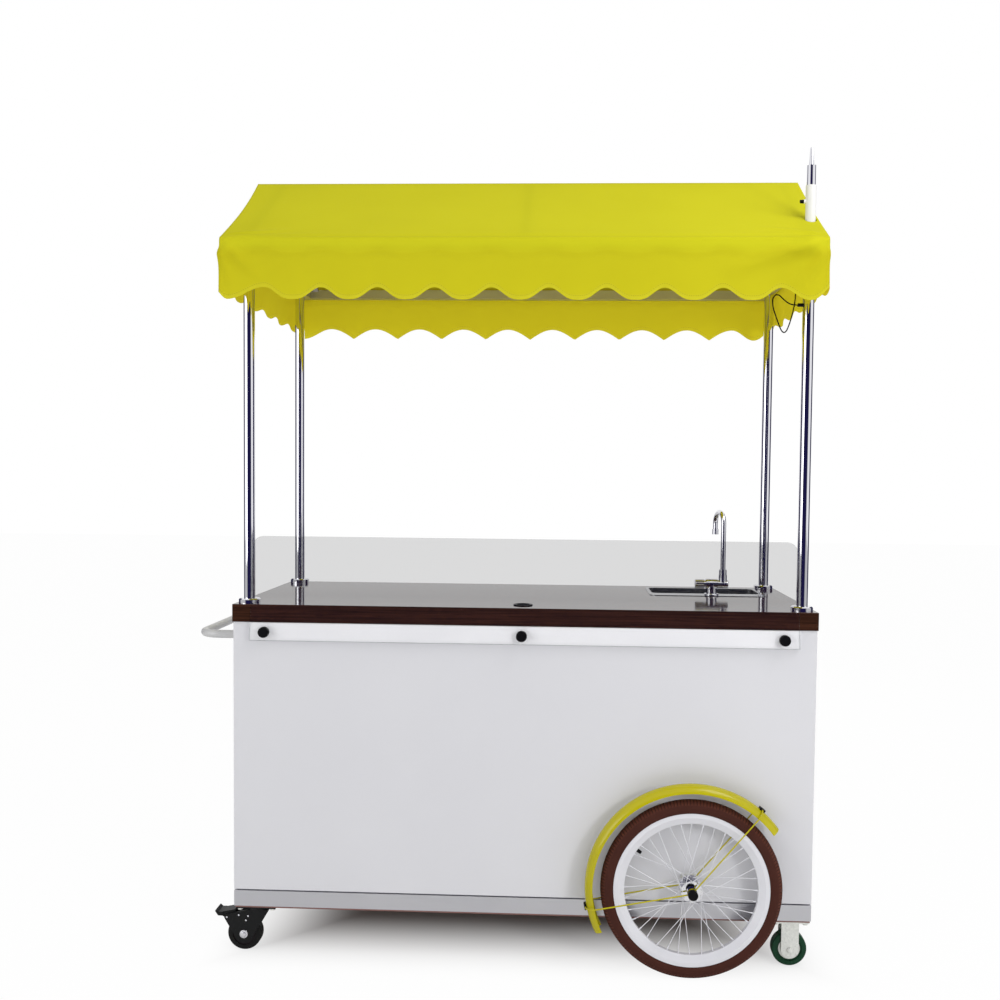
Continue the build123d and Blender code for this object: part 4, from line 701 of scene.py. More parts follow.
@dataclass
class Canopy:
    """One cover stretched over the frame: two slopes, two gables and four scalloped valances."""

    # Where the cover lies, and how its valances are cut
    left: float = CART_X - 0.840
    right: float = CART_X + 0.820
    half_depth: float = 0.425
    eave: float = 2.052
    ridge: float = 2.312
    drop: float = 0.1677
    pitch: float = 0.1564
    scallop: float = 0.034
    short_scallop: float = 0.014
    short_raise: float = 0.022
    long_notches: int = 10
    short_notches: int = 5
    corner_rise: Pair = (0.020, 0.038)
    corner_low: Pair = (0.025, 0.051)
    flat: Pair = (2.52, 1.33)
    # How finely it is divided
    slope_rows: int = 60
    hang_rows: int = 22
    gable_rows: int = 30
    length_cells: int = 220
    # How tension and weight move the slopes between the rafters
    rafters: Triple = (CART_X - 0.7672, CART_X, CART_X + 0.7672)
    ripple_scale: float = 7.0
    slope_sag: float = 0.003
    slope_ripple: float = 0.0015
    slack_from: Pair = (0.03, 0.25)
    slack_power: float = 0.7
    eave_dip: float = 0.0036
    eave_dip_at: float = 0.020
    eave_dip_half: float = 0.009
    eave_keep: float = 0.012
    eave_soften: float = 0.3
    verge_pull: float = 0.005
    verge_reach: float = 0.10
    verge_right: float = 0.5
    verge_drop: float = 0.4
    ridge_flare: float = 0.014
    flare_reach: float = 0.15
    # How the valances billow in their lobes and tuck in below the rail
    lobe_billow: float = 0.007
    lobe_power: float = 1.6
    lobe_size: Pair = (0.75, 0.6)
    lobe_scale: float = 5.0
    hang_ripple: float = 0.0022
    tuck: float = 0.002
    tuck_below: float = 0.058
    tuck_half: float = 0.014
    tuck_inset: float = 0.08
    rail_share: float = 0.22
    rail_fade: float = 0.12
    # The mast's eyelet
    mast: Pair = (CART_X + 0.7975, -0.295)
    mast_hole_r: float = 0.0175
    mast_rim_r: float = 0.0280
    mast_patch_r: float = 0.0385
    # The creases that the corners pull
    folds: tuple[Fold, ...] = (
        Fold((CART_X + 0.816, -0.427, 2.048), (CART_X + 0.520, -0.427, 1.955), 0.0250, 0.019),
        Fold((CART_X + 0.816, -0.427, 2.030), (CART_X + 0.735, -0.427, 1.900), 0.0140, 0.016),
        Fold((CART_X - 0.836, -0.427, 2.040), (CART_X - 0.700, -0.427, 1.930), 0.0190, 0.018),
        Fold((CART_X - 0.838, -0.427, 2.030), (CART_X - 0.800, -0.427, 1.900), 0.0120, 0.014),
        Fold((CART_X - 0.836, -0.416, 2.060), (CART_X - 0.520, -0.398, 2.070), 0.0095, 0.008),
        Fold((CART_X - 0.836, -0.404, 2.066), (CART_X - 0.640, -0.365, 2.090), 0.0080, 0.009),
        Fold((CART_X + 0.814, -0.405, 2.066), (CART_X + 0.620, -0.345, 2.102), 0.0080, 0.011),
        Fold((CART_X - 0.836, 0.427, 2.040), (CART_X - 0.690, 0.427, 1.955), 0.0035, 0.012),
        Fold((CART_X + 0.814, 0.427, 2.040), (CART_X + 0.670, 0.427, 1.950), 0.0035, 0.012),
    )

    def hem_lift(self, place: float, long_side: bool, hem: Hem, end: int) -> float:
        """Reads how far the hem is cut above its lowest line.

        Args:
            place: the distance along the edge from its middle.
            long_side: whether the edge runs along the cart or across it.
            hem: how the lobes are cut.
            end: 0 at the cart's left end and 1 at its right.

        Returns:
            The height of the hem above its lowest line.
        """
        span = self.right - self.left if long_side else 2 * self.half_depth
        notches = self.long_notches if long_side else self.short_notches
        depth = self.scallop if long_side else self.short_scallop
        base = 0.0 if long_side else self.short_raise
        reach = (notches - 1) / 2 * self.pitch
        if abs(place) <= reach:
            wave = math.cos(math.pi * (place + reach) / self.pitch) ** 2
            return base + depth * wave ** hem.value
        from_corner = span / 2 - abs(place)
        last, low = span / 2 - reach, self.corner_low[end]
        if from_corner < low:
            return base + (self.corner_rise[end] - base) * (1 - from_corner / low) ** 2
        share = (from_corner - low) / (last - low)
        return base + depth * (0.5 - 0.5 * math.cos(math.pi * share))

    def mark(self, mesh: bmesh.types.BMesh, vert: bmesh.types.BMVert, hang: float, cut: float) -> None:
        """Notes how far down its valance a point lies, and how far above the hem.

        Args:
            mesh: the cover's mesh.
            vert: the point.
            hang: its share of the way from the eave to the hem.
            cut: the valance's height there.
        """
        vert[mesh.verts.layers.float["hang"]] = hang
        vert[mesh.verts.layers.float["hem"]] = (1 - hang) * cut if hang > 0 else 1.0

    def lay_flat(self, mesh: bmesh.types.BMesh, flat: dict[bmesh.types.BMVert, Pair]) -> None:
        """Notes where each point of a strip lies on the flat cloth.

        Args:
            mesh: the cover's mesh.
            flat: the strip's points with their places on the cloth.
        """
        uv = mesh.loops.layers.uv["cloth"]
        for face in {face for vert in flat for face in vert.link_faces}:
            for loop in face.loops:
                loop[uv].uv = flat[loop.vert]

    def lay_slopes(self, mesh: bmesh.types.BMesh) -> None:
        """Lays the strip from the front hem over the ridge to the rear hem.

        Args:
            mesh: the mesh to add it to.
        """
        rows = 2 * (self.slope_rows + self.hang_rows)
        grid = bmesh.ops.create_grid(mesh, x_segments=self.length_cells, y_segments=rows, size=0.5)["verts"]
        span = self.right - self.left
        slope = math.hypot(self.half_depth, self.ridge - self.eave) / self.slope_rows
        flat = {}
        for vert in grid:
            row = round((vert.co.y + 0.5) * rows) - rows // 2
            flat[vert] = ((vert.co.x + 0.5) * span, row * slope)
            along = vert.co.x * span
            down = min(abs(row) / self.slope_rows, 1.0)
            hang = max(abs(row) - self.slope_rows, 0) / self.hang_rows
            cut = self.drop - self.hem_lift(along, True, Hem.ROUND if row < 0 else Hem.POINTED, int(along > 0))
            vert.co = (self.left + span / 2 + along, math.copysign(self.half_depth * down, row),
                       self.ridge + (self.eave - self.ridge) * down - hang * cut)
            self.mark(mesh, vert, hang, cut)
        self.lay_flat(mesh, flat)

    def lay_end(self, mesh: bmesh.types.BMesh, end_x: float) -> None:
        """Lays a gable with the short valance below it.

        Args:
            mesh: the mesh to add it to.
            end_x: where the end stands.
        """
        rows = self.gable_rows + self.hang_rows
        grid = bmesh.ops.create_grid(mesh, x_segments=2 * self.slope_rows, y_segments=rows, size=0.5)["verts"]
        for vert in grid:
            row = round((vert.co.y + 0.5) * rows) - self.hang_rows
            along = vert.co.x * 2 * self.half_depth
            rise = (self.ridge - self.eave) * (1 - abs(along) / self.half_depth)
            hang = max(-row, 0) / self.hang_rows
            cut = self.drop - self.hem_lift(along, False, Hem.ROUND, int(end_x > CART_X))
            vert.co = (end_x, along, self.eave + max(row, 0) / self.gable_rows * rise - hang * cut)
            self.mark(mesh, vert, hang, cut)
        self.lay_flat(mesh, {vert: (vert.co.y, vert.co.z) for vert in grid})

    def open_mast_hole(self, mesh: bmesh.types.BMesh) -> None:
        """Cuts the eyelet that the mast stands through.

        Args:
            mesh: the cover's mesh.
        """
        centre = Vector(self.mast)
        near = [edge for edge in mesh.edges if edge.verts[0].co.z > self.eave
                and all((vert.co.xy - centre).length < self.mast_patch_r for vert in edge.verts)]
        bmesh.ops.subdivide_edges(mesh, edges=near, cuts=3, use_grid_fill=True)
        roof = [vert for vert in mesh.verts if vert.co.z > self.eave and vert.co.y < 0]
        inside = [vert for vert in roof if (vert.co.xy - centre).length < self.mast_hole_r]
        bmesh.ops.delete(mesh, geom=inside, context="VERTS")
        rim = [vert for vert in mesh.verts if vert.is_boundary and vert.co.z > self.eave
               and (vert.co.xy - centre).length < self.mast_rim_r]
        fall = (self.ridge - self.eave) / self.half_depth
        for vert in rim:
            aim = centre + (vert.co.xy - centre).normalized() * self.mast_hole_r
            vert.co = (aim.x, aim.y, vert.co.z + (aim.y - vert.co.y) * fall)

    def from_end(self, place: Vector) -> float:
        """Returns a point's distance from the nearer end of the cover."""
        return min(place.x - self.left, self.right - place.x)

    def slope_move(self, vert: bmesh.types.BMVert) -> Vector:
        """Reads how tension and weight move a point of the slopes and gables.

        Args:
            vert: the point, with its normal.

        Returns:
            The move.
        """
        place = vert.co
        inward = self.from_end(place)
        down = abs(place.y) / self.half_depth
        bay = min(abs(place.x - rafter) for rafter in self.rafters)
        slack = smooth_step(*self.slack_from, bay) * math.sin(math.pi * min(down, 1.0)) ** self.slack_power
        sag = slack * (self.slope_sag + self.slope_ripple * noise.noise(place * self.ripple_scale))
        above = (self.half_depth - abs(place.y)) / math.cos(math.atan2(self.ridge - self.eave, self.half_depth))
        dip = self.eave_dip * math.exp(-((above - self.eave_dip_at) / self.eave_dip_half) ** 2)
        sag += dip * smooth_step(0.0, self.eave_dip_at, inward)
        pull = self.verge_pull * math.sin(math.pi * down) * math.exp(-inward / self.verge_reach)
        aside = -self.verge_right * pull
        if place.x - self.left < self.right - place.x:
            aside = pull - self.ridge_flare * (1 - down) ** 2 * math.exp(-inward / self.flare_reach)
        keep = smooth_step(0.0, self.eave_keep, abs(place.z - self.eave))
        return (vert.normal * -sag + Vector((aside, 0, -self.verge_drop * pull))) * keep

    def hang_move(self, vert: bmesh.types.BMVert, hang: float) -> Vector:
        """Reads how a valance billows in its lobes and tucks in below the rail.

        Args:
            vert: the point, with its normal.
            hang: how far down the valance it lies, from 0 at the eave to 1 at the hem.

        Returns:
            The move.
        """
        place = vert.co
        inward, from_side = self.from_end(place), self.half_depth - abs(place.y)
        along_x = inward > from_side
        distance = place.x - (self.left + self.right) / 2 if along_x else place.y
        notches = self.long_notches if along_x else self.short_notches
        lobe = 0.5 - 0.5 * math.cos(2 * math.pi * (distance / self.pitch + notches / 2 + 0.5))
        spot = Vector((place.x * self.lobe_scale, place.y * self.lobe_scale, 3.0))
        size = self.lobe_size[0] + self.lobe_size[1] * noise.noise(spot)
        billow = self.lobe_billow * hang ** self.lobe_power * lobe * size
        tuck = self.tuck * math.exp(-((hang * self.drop - self.tuck_below) / self.tuck_half) ** 2)
        tuck *= smooth_step(0.0, self.tuck_inset, max(inward, from_side))
        ripple = self.hang_ripple * hang * noise.noise(place * self.ripple_scale)
        free = smooth_step(self.rail_share, self.rail_share + self.rail_fade, hang)
        return vert.normal * (billow + free * (ripple - tuck))

    def shift(self, vert: bmesh.types.BMVert, hang: float) -> Vector:
        """Returns how tension, weight and folds move a point, which hangs by a share down to the hem."""
        move = self.hang_move(vert, hang) if hang > 0 else self.slope_move(vert)
        return move + vert.normal * sum(fold.lift(vert.co) for fold in self.folds)

    def build(self) -> bpy.types.Object:
        """Builds the cover as one sheet of cloth.

        Returns:
            The cover.
        """
        mesh = bmesh.new()
        mesh.loops.layers.uv.new("cloth")
        mesh.verts.layers.float.new("hem")
        hang_layer = mesh.verts.layers.float.new("hang")
        self.lay_slopes(mesh)
        for end_x in (self.left, self.right):
            self.lay_end(mesh, end_x)
        bmesh.ops.remove_doubles(mesh, verts=mesh.verts, dist=1e-5)
        bmesh.ops.dissolve_degenerate(mesh, dist=1e-6, edges=mesh.edges)
        bmesh.ops.recalc_face_normals(mesh, faces=mesh.faces)
        self.open_mast_hole(mesh)
        eaves = [vert for vert in mesh.verts if abs(vert.co.z - self.eave) < 1e-4]
        bmesh.ops.smooth_vert(mesh, verts=eaves, factor=self.eave_soften, use_axis_x=True, use_axis_y=True,
                              use_axis_z=True)
        mesh.normal_update()
        moves = {vert: self.shift(vert, vert[hang_layer]) for vert in mesh.verts}
        for vert, move in moves.items():
            vert.co += move
        area = sum(face.calc_area() for face in mesh.faces)
        cover = finish_piece(mesh, "canopy_cover", "cart", "canopy_fabric", ("canopy_roof", "canopy_valances"))
        return cover


@dataclass
class CanopyPosts:
    """The four chromed tubes between the counter and the canopy frame."""

    half_x: float = 0.795
    half_y: float = 0.295
    low: float = 1.030
    high: float = 2.0205
    radius: float = 0.016
    sides: int = 72

    def build(self) -> bpy.types.Object:
        """Builds the tubes with enough sides for clean reflections.

        Returns:
            The tubes.
        """
        mesh = bmesh.new()
        for x in (CART_X - self.half_x, CART_X + self.half_x):
            for y in (-self.half_y, self.half_y):
                place = Matrix.Translation((x, y, (self.low + self.high) / 2))
                bmesh.ops.create_cone(mesh, cap_ends=True, segments=self.sides, radius1=self.radius,
                                      radius2=self.radius, depth=self.high - self.low, matrix=place)
        bmesh.ops.recalc_face_normals(mesh, faces=mesh.faces)
        return finish_piece(mesh, "canopy_post_tubes", "cart", "chrome", ("canopy_posts",), crease_deg=30.0)


@dataclass
class GuardSheet:
    """The clear guard, cut narrower towards its rounded top and clamped against the white strip."""

    back: float = -0.3443
    front: float = -0.348
    low: float = 0.9277
    high: float = 1.2277
    low_half: float = 0.782
    high_half: float = 0.769
    corner_r: float = 0.030
    corner_steps: int = 8
    edge_r: float = 0.0006

    def build(self) -> bpy.types.Object:
        """Builds the sheet with rounded top corners and polished edges.

        Returns:
            The sheet.
        """
        mesh = bmesh.new()
        corners = bmesh.ops.create_grid(mesh, x_segments=1, y_segments=1, size=0.5)["verts"]
        upper = [corner for corner in corners if corner.co.y > 0]
        for corner in corners:
            half, height = (self.high_half, self.high) if corner in upper else (self.low_half, self.low)
            corner.co = (CART_X + math.copysign(half, corner.co.x), self.back, height)
        bmesh.ops.bevel(mesh, geom=upper, offset=self.corner_r, segments=self.corner_steps, profile=0.5,
                        affect="VERTICES", material=-1)
        grown = bmesh.ops.extrude_face_region(mesh, geom=mesh.faces[:])["geom"]
        bmesh.ops.translate(mesh, verts=[item for item in grown if isinstance(item, bmesh.types.BMVert)],
                            vec=(0, self.front - self.back, 0))
        bmesh.ops.recalc_face_normals(mesh, faces=mesh.faces)
        rims = [edge for edge in mesh.edges if any(len(face.verts) > 4 for face in edge.link_faces)]
        bmesh.ops.bevel(mesh, geom=rims, offset=self.edge_r, segments=2, profile=0.5, affect="EDGES", material=-1)
        return finish_piece(mesh, "clear_guard", "cart", "clear_sheet", ("guard_sheet",), crease_deg=15.0)


@dataclass
class CasterFasteners:
    """The bright axle bolts and rivets on the outer faces of one end's casters."""

    end: str
    side: float
    fork_half: float = 0.024
    sunk: float = 0.0003
    taper: float = 0.94
    rim_share: float = 0.4
    swivel_axle: Pair = (SWIVEL_X, CASTER_R)
    rigid_axle: Pair = (RIGID_X, CASTER_R)
    rivets: tuple[Pair, ...] = ((-0.0143, 0.107), (0.0134, 0.105), (0.0073, 0.092), (-0.050, 0.100))
    rivet_size: Pair = (0.0029, 0.0018)
    washer_size: Pair = (0.0125, 0.0016)
    nut_size: Pair = (0.0092, 0.0062)
    cap_size: Pair = (0.0088, 0.0055)

    def head(self, mesh: bmesh.types.BMesh, place: Pair, size: Pair, sides: int = 28) -> None:
        """Sets one head with a rounded rim on the fork's outer face.

        Args:
            mesh: the mesh to add it to.
            place: its X and Z.
            size: its radius and its rise.
            sides: how many flats it has, 6 for a nut.
        """
        radius, rise = size
        out = math.copysign(1.0, self.side)
        middle = self.side + out * (self.fork_half - self.sunk + rise / 2)
        turn = Vector((0, out, 0)).to_track_quat("Z", "X").to_matrix().to_4x4()
        made = bmesh.ops.create_cone(mesh, cap_ends=True, segments=sides, radius1=radius,
                                     radius2=self.taper * radius, depth=rise,
                                     matrix=Matrix.Translation((place[0], middle, place[1])) @ turn)
        tops = {vert for vert in made["verts"] if (vert.co.y - middle) * out > 0}
        rim = [edge for edge in mesh.edges if all(vert in tops for vert in edge.verts)]
        bmesh.ops.bevel(mesh, geom=rim, offset=self.rim_share * rise, segments=3, profile=0.5, affect="EDGES",
                        material=-1)

    def build(self) -> list[bpy.types.Object]:
        """Builds the swivel caster's and the rigid caster's heads.

        Returns:
            The two pieces.
        """
        turning = bmesh.new()
        self.head(turning, self.swivel_axle, self.washer_size)
        self.head(turning, self.swivel_axle, self.nut_size, 6)
        for offset, height in self.rivets:
            self.head(turning, (self.swivel_axle[0] + offset, height), self.rivet_size)
        fixed = bmesh.new()
        self.head(fixed, self.rigid_axle, self.cap_size)
        pieces = []
        for mesh, name, body, slot in ((turning, "swivel", f"{self.end}_swivel", "chrome"),
                                       (fixed, "rigid", "cart", "zinc_steel")):
            bmesh.ops.recalc_face_normals(mesh, faces=mesh.faces)
            pieces.append(finish_piece(mesh, f"{self.end}_{name}_bolts", body, slot, crease_deg=35.0))
        return pieces


@dataclass
class LampCable:
    """The thin lamp cable that hangs from the post's gland and goes back into the frame."""

    start: Triple = (CART_X + 0.765, -0.295, 1.893)
    steps_mm: tuple[Triple, ...] = (
        (-17, 0, 0), (-36, -2, 11), (-57, -4, 32), (-72, -4, 19), (-69, -3, -9), (-58, -1, -38), (-43, 2, -75),
        (-31, 4, -77), (-22, 5, -56), (-14, 6, -29), (-8, 8, -2), (-4, 10, 28), (-5, 13, 60), (-11, 18, 92),
        (-22, 23, 120))
    finish_x: Pair = (CART_X + 0.750, CART_X + 0.772)
    finish_yz: Pair = (-0.269, 2.03554)
    diameter: float = 0.0035
    length: float = 0.4388

    def build(self) -> bpy.types.Object:
        """Builds the cable on its route's control points.

        Returns:
            The cable.
        """
        route = [Vector(self.start) + Vector(step) * MM for step in ((0, 0, 0), *self.steps_mm)]
        route += [Vector((x, *self.finish_yz)) for x in self.finish_x]
        line = bpy.data.curves.new("lamp_cable_run", "CURVE")
        line.dimensions = "3D"
        spline = line.splines.new("NURBS")
        spline.points.add(len(route) - 1)
        for point, place in zip(spline.points, route):
            point.co = (*place, 1.0)
        spline.order_u = 3
        spline.use_endpoint_u = True
        spline.resolution_u = 12
        line.bevel_depth = self.diameter / 2
        line.bevel_resolution = 5
        line.use_fill_caps = True
        line.materials.append(FINISHES["cable_rubber"].material())
        cable = place_object("lamp_cable_run", line)
        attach(cable, "cart")
        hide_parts("lamp_cable")
        return cable


@dataclass
class WheelTyre:
    """A ribbed tyre with its valve, turned about the wheel's axle."""

    end: str
    axle: Triple
    core_r: float = 0.232
    section_r: float = 0.022
    section_steps: int = 86
    inner_stride: int = 6
    wall: float = 0.0035
    bead_deg: float = 128.0
    rib_deg: float = 15.0
    rib_depth: float = 0.0011
    rib_power: int = 4
    ribs_to_deg: float = 52.0
    rib_fade_deg: float = 6.0
    turns: int = 200
    valve_deg: float = 145.0
    valve_from: float = 0.206
    valve_to: float = 0.172
    valve_r: float = 0.0056
    valve_taper: float = 0.85
    valve_edge: float = 0.0008

    def section(self, mesh: bmesh.types.BMesh) -> list[bmesh.types.BMEdge]:
        """Draws the tyre's section beside the axle.

        Args:
            mesh: the mesh to draw it in.

        Returns:
            The closed ring of edges.
        """
        steps = self.section_steps
        angles = [math.radians(self.bead_deg) * (2 * step / steps - 1) for step in range(steps + 1)]
        ring = []
        for angle in angles:
            turn = math.degrees(angle)
            tread = smooth_step(self.ribs_to_deg, self.ribs_to_deg - self.rib_fade_deg, abs(turn))
            groove = tread * max(math.cos(2 * math.pi * turn / self.rib_deg), 0.0) ** self.rib_power
            ring.append((self.section_r - self.rib_depth * groove, angle))
        ring += [(self.section_r - self.wall, angle) for angle in reversed(angles[::self.inner_stride])]
        x, y, z = self.axle
        circle = bmesh.ops.create_circle(mesh, segments=len(ring), radius=self.section_r)["verts"]
        for vert, (radius, angle) in zip(circle, ring):
            vert.co = (x, y + radius * math.sin(angle), z + self.core_r + radius * math.cos(angle))
        return mesh.edges[:]

    def tyre(self) -> bpy.types.Object:
        """Spins the section round the axle.

        Returns:
            The tyre.
        """
        mesh = bmesh.new()
        ring = self.section(mesh)
        bmesh.ops.spin(mesh, geom=mesh.verts[:] + ring, cent=Vector(self.axle), axis=(0, 1, 0), dvec=(0, 0, 0),
                       angle=2 * math.pi, steps=self.turns, use_merge=True, use_duplicate=False)
        bmesh.ops.remove_doubles(mesh, verts=mesh.verts, dist=1e-6)
        bmesh.ops.recalc_face_normals(mesh, faces=mesh.faces)
        return finish_piece(mesh, f"{self.end}_ribbed_tyre", f"{self.end}_wheel", "tyre_rubber",
                            (f"{self.end}_tyre",))

    def valve(self) -> bpy.types.Object:
        """Builds the valve, which points from the rim to the axle.

        Returns:
            The valve.
        """
        mesh = bmesh.new()
        turn = math.radians(self.valve_deg)
        outward = Vector((math.cos(turn), 0, math.sin(turn)))
        middle = Vector(self.axle) + outward * ((self.valve_from + self.valve_to) / 2)
        along = outward.to_track_quat("Z", "Y").to_matrix().to_4x4()
        bmesh.ops.create_cone(mesh, cap_ends=True, segments=20, radius1=self.valve_r * self.valve_taper,
                              radius2=self.valve_r, depth=self.valve_from - self.valve_to,
                              matrix=Matrix.Translation(middle) @ along)
        rims = [edge for edge in mesh.edges if any(len(face.verts) > 4 for face in edge.link_faces)]
        bmesh.ops.bevel(mesh, geom=rims, offset=self.valve_edge, segments=2, profile=0.5, affect="EDGES",
                        material=-1)
        bmesh.ops.recalc_face_normals(mesh, faces=mesh.faces)
        return finish_piece(mesh, f"{self.end}_valve", f"{self.end}_wheel", "black_plastic")

    def build(self) -> list[bpy.types.Object]:
        """Builds the tyre and its valve and returns them."""
        return [self.tyre(), self.valve()]


@dataclass(frozen=True)
class SoftLamp:
    """A square lamp: where it hangs, the point that it faces, its side and its power."""

    name: str
    place: Triple
    aim: Triple
    size: float
    watts: float
    in_gloss: bool = True

    def hang(self) -> None:
        """Hangs the lamp."""
        light = bpy.data.lights.new(self.name, "AREA")
        light.size = self.size
        light.energy = self.watts
        lamp = place_object(self.name, light)
        lamp.location = self.place
        lamp.rotation_euler = (Vector(self.aim) - Vector(self.place)).to_track_quat("-Z", "Y").to_euler()
        lamp.visible_glossy = self.in_gloss


@dataclass(frozen=True)
class Flag:
    """A dark card that only reflections show, so that chrome gets its dark streaks."""

    name: str
    place: Triple
    width: float
    height: float
    colour: str = "#1E1B45"
    solid: float = 0.66

    def cloth(self) -> bpy.types.Material:
        """Makes the card's cloth, which thins out towards the rim so that gloss shows no hard edge.

        Returns:
            The material.
        """
        cloth = clear_material(f"{self.name}_cloth")
        tree = cloth.node_tree
        spot = add_node(tree, "ShaderNodeTexCoord").outputs["Object"]
        off = add_node(tree, "ShaderNodeVectorMath", {0: spot, 1: self.place}, operation="SUBTRACT")
        shares = (2 / self.width, 2 / self.width, 2 / self.height)
        scaled = add_node(tree, "ShaderNodeVectorMath", {0: off.outputs[0], 1: shares}, operation="MULTIPLY")
        reach = add_node(tree, "ShaderNodeVectorMath", {0: scaled.outputs[0]}, operation="LENGTH")
        thin = add_node(tree, "ShaderNodeMapRange", {
            "Value": reach.outputs["Value"], "From Min": self.solid, "From Max": 1.0},
            interpolation_type="SMOOTHSTEP")
        dark = add_node(tree, "ShaderNodeEmission", {"Color": linear(self.colour), "Strength": 1.0})
        clear = add_node(tree, "ShaderNodeBsdfTransparent")
        mix = add_node(tree, "ShaderNodeMixShader", {0: thin.outputs[0], 1: dark.outputs[0], 2: clear.outputs[0]})
        add_node(tree, "ShaderNodeOutputMaterial", {0: mix.outputs[0]})
        return cloth

    def stand(self) -> None:
        """Stands the card so that it faces the cart."""
        mesh = bmesh.new()
        facing = Vector((-self.place[0], -self.place[1], 0)).to_track_quat("Z", "Y").to_matrix().to_4x4()
        size = Matrix.Diagonal((self.width, self.height, 1, 1))
        bmesh.ops.create_grid(mesh, x_segments=1, y_segments=1, size=0.5,
                              matrix=Matrix.Translation(self.place) @ facing @ size)
        card = place_mesh(mesh, self.name, self.cloth())
        for ray in ("camera", "diffuse", "transmission", "volume_scatter", "shadow"):
            setattr(card, f"visible_{ray}", False)


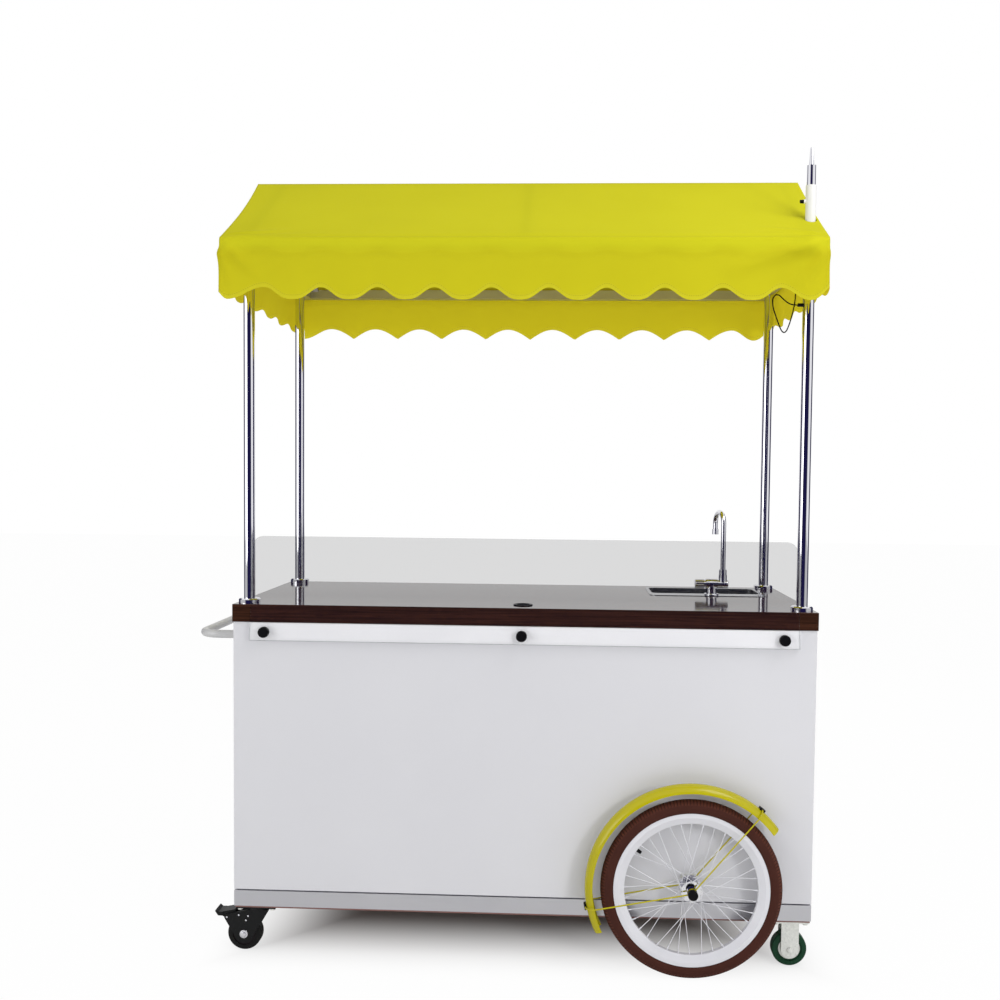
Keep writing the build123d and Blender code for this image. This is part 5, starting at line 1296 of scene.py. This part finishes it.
@dataclass
class Studio:
    """The pale floor, the white surround, the lamps and flags, and the camera of the photograph."""

    eye: Triple = (CART_X + 0.115226, -3.345103, 1.408115)
    turn_deg: Triple = (87.3387, -0.5512, 2.5858)
    focal_px: float = 1065.078
    centre_px: Pair = (516.013, 524.628)
    sensor_mm: float = 36.0
    world_level: float = 0.65
    floor_size: float = 40.0
    # Painted shadow: the floor's colour under the cart
    shadow_grey_under_cart: str = "#A6A5A2"
    floor_far: str = "#F2F2F2"
    cart_half: Pair = (0.83, 0.33)
    fade_from: Pair = (-0.33, 0.12)
    fade_share: float = 0.97
    # No gloss shows the last two lamps, which would lie on the chrome as sparks and on the counter as a hard patch.
    lamps: tuple[SoftLamp, ...] = (
        SoftLamp("key_lamp", (-3.4, -2.9, 1.9), (-0.3, -0.3, 1.0), 2.2, 38.0),
        SoftLamp("top_lamp", (2.2, -1.8, 4.0), (0.5, -0.2, 2.2), 1.8, 44.0),
        SoftLamp("side_lamp", (2.3, -3.2, 1.7), (0.5, -0.3, 0.6), 0.6, 28.0, in_gloss=False),
        SoftLamp("back_lamp", (0.6, 4.2, 2.8), (0.0, 0.2, 1.4), 3.0, 30.0, in_gloss=False),
    )
    flags: tuple[Flag, ...] = (
        Flag("flag_behind_camera", (0.1, -5.0, 1.7), 10.8, 6.2),
        Flag("flag_left", (-3.6, 1.6, 1.7), 4.4, 5.8),
        Flag("flag_right", (3.8, 1.6, 1.7), 4.4, 5.8),
    )

    def camera(self) -> None:
        """Places the camera as the photograph was taken."""
        lens = bpy.data.cameras.new("photo_camera")
        lens.sensor_width = self.sensor_mm
        lens.lens = self.sensor_mm * self.focal_px / PIXELS
        lens.shift_x = (PIXELS / 2 - self.centre_px[0]) / PIXELS
        lens.shift_y = (self.centre_px[1] - PIXELS / 2) / PIXELS
        camera = place_object("photo_camera", lens)
        camera.location = self.eye
        camera.rotation_euler = [math.radians(turn) for turn in self.turn_deg]
        bpy.context.scene.camera = camera

    def world(self) -> None:
        """Makes the white surround, which lights the object less than it shows."""
        world = bpy.data.worlds.new("white_surround")
        bpy.context.scene.world = world
        world.use_nodes = True
        tree = world.node_tree
        tree.nodes.clear()
        path = add_node(tree, "ShaderNodeLightPath")
        seen = path.outputs["Is Camera Ray"]
        for ray in ("Is Glossy Ray", "Is Transmission Ray"):
            seen = add_node(tree, "ShaderNodeMath", {0: seen, 1: path.outputs[ray]}, operation="MAXIMUM").outputs[0]
        soft = add_node(tree, "ShaderNodeBackground", {0: (1, 1, 1, 1), 1: self.world_level})
        white = add_node(tree, "ShaderNodeBackground", {0: (1, 1, 1, 1), 1: 1.0})
        mix = add_node(tree, "ShaderNodeMixShader", {0: seen, 1: soft.outputs[0], 2: white.outputs[0]})
        add_node(tree, "ShaderNodeOutputWorld", {0: mix.outputs[0]})

    def floor_paint(self) -> bpy.types.Material:
        """Makes the floor's paint, which keeps the cast shadow under the cart, greys its colour there as a painted
        shadow, and fades to white around it.

        Returns:
            The material.
        """
        paint = clear_material("matt_white_floor")
        tree = paint.node_tree
        place = add_node(tree, "ShaderNodeTexCoord").outputs["Object"]
        centred = add_node(tree, "ShaderNodeMapping", {"Vector": place, "Location": (-CART_X, 0, 0)})
        parts = add_node(tree, "ShaderNodeSeparateXYZ", {0: centred.outputs[0]})
        outside = []
        for axis, half in zip("XY", self.cart_half):
            away = add_node(tree, "ShaderNodeMath", {0: parts.outputs[axis]}, operation="ABSOLUTE")
            outside.append(add_node(tree, "ShaderNodeMath", {0: away.outputs[0], 1: half}, operation="SUBTRACT"))
        beyond = add_node(tree, "ShaderNodeMath", {0: outside[0].outputs[0], 1: outside[1].outputs[0]},
                          operation="MAXIMUM")
        fade = add_node(tree, "ShaderNodeMapRange", {
            "Value": beyond.outputs[0], "From Min": self.fade_from[0], "From Max": self.fade_from[1],
            "To Min": 0.0, "To Max": self.fade_share}, interpolation_type="SMOOTHSTEP")
        seen = add_node(tree, "ShaderNodeLightPath").outputs["Is Camera Ray"]
        shown = add_node(tree, "ShaderNodeMath", {0: fade.outputs[0], 1: seen}, operation="MULTIPLY")
        # Painted shadow: the floor's own colour turns grey under the cart
        pale = add_node(tree, "ShaderNodeMix", {
            0: fade.outputs[0], 6: linear(self.shadow_grey_under_cart), 7: linear(self.floor_far)}, data_type="RGBA")
        matt = add_node(tree, "ShaderNodeBsdfDiffuse", {"Color": pale.outputs[2]})
        white = add_node(tree, "ShaderNodeEmission", {"Color": (1, 1, 1, 1), "Strength": 1.0})
        mix = add_node(tree, "ShaderNodeMixShader", {0: shown.outputs[0], 1: matt.outputs[0], 2: white.outputs[0]})
        add_node(tree, "ShaderNodeOutputMaterial", {0: mix.outputs[0]})
        return paint

    def floor(self) -> None:
        """Lays the floor."""
        mesh = bmesh.new()
        bmesh.ops.create_grid(mesh, x_segments=1, y_segments=1, size=self.floor_size / 2)
        place_mesh(mesh, "studio_floor", self.floor_paint())

    def build(self) -> None:
        """Sets up the camera, surround, floor, lamps and flags."""
        bpy.context.scene.view_settings.view_transform = "Standard"
        self.camera()
        self.world()
        self.floor()
        for lamp in self.lamps:
            lamp.hang()
        for flag in self.flags:
            flag.stand()


def main() -> None:
    """Builds the studio and every piece in order."""
    logging.basicConfig(level=logging.INFO, format="%(message)s")
    Studio().build()
    log.info("cable: %s", LampCable().build().name)
    slots = {row["node"]: row["material_slot"] for row in frame["record"]["subparts"]}
    log.info("finished CAD nodes: %d", CadFinishes(slots).dress())
    log.info("cover: %s", Canopy().build().name)
    log.info("posts: %s", CanopyPosts().build().name)
    log.info("guard: %s", GuardSheet().build().name)
    for end, side in (("front", -CASTER_Y), ("rear", CASTER_Y)):
        for piece in CasterFasteners(end, side).build():
            log.info("caster piece: %s", piece.name)
    for end, side in (("front", -WHEEL_Y), ("rear", WHEEL_Y)):
        for piece in WheelTyre(end, (WHEEL_X, side, WHEEL_R)).build():
            log.info("wheel piece: %s", piece.name)


if __name__ == "__main__":
    main()
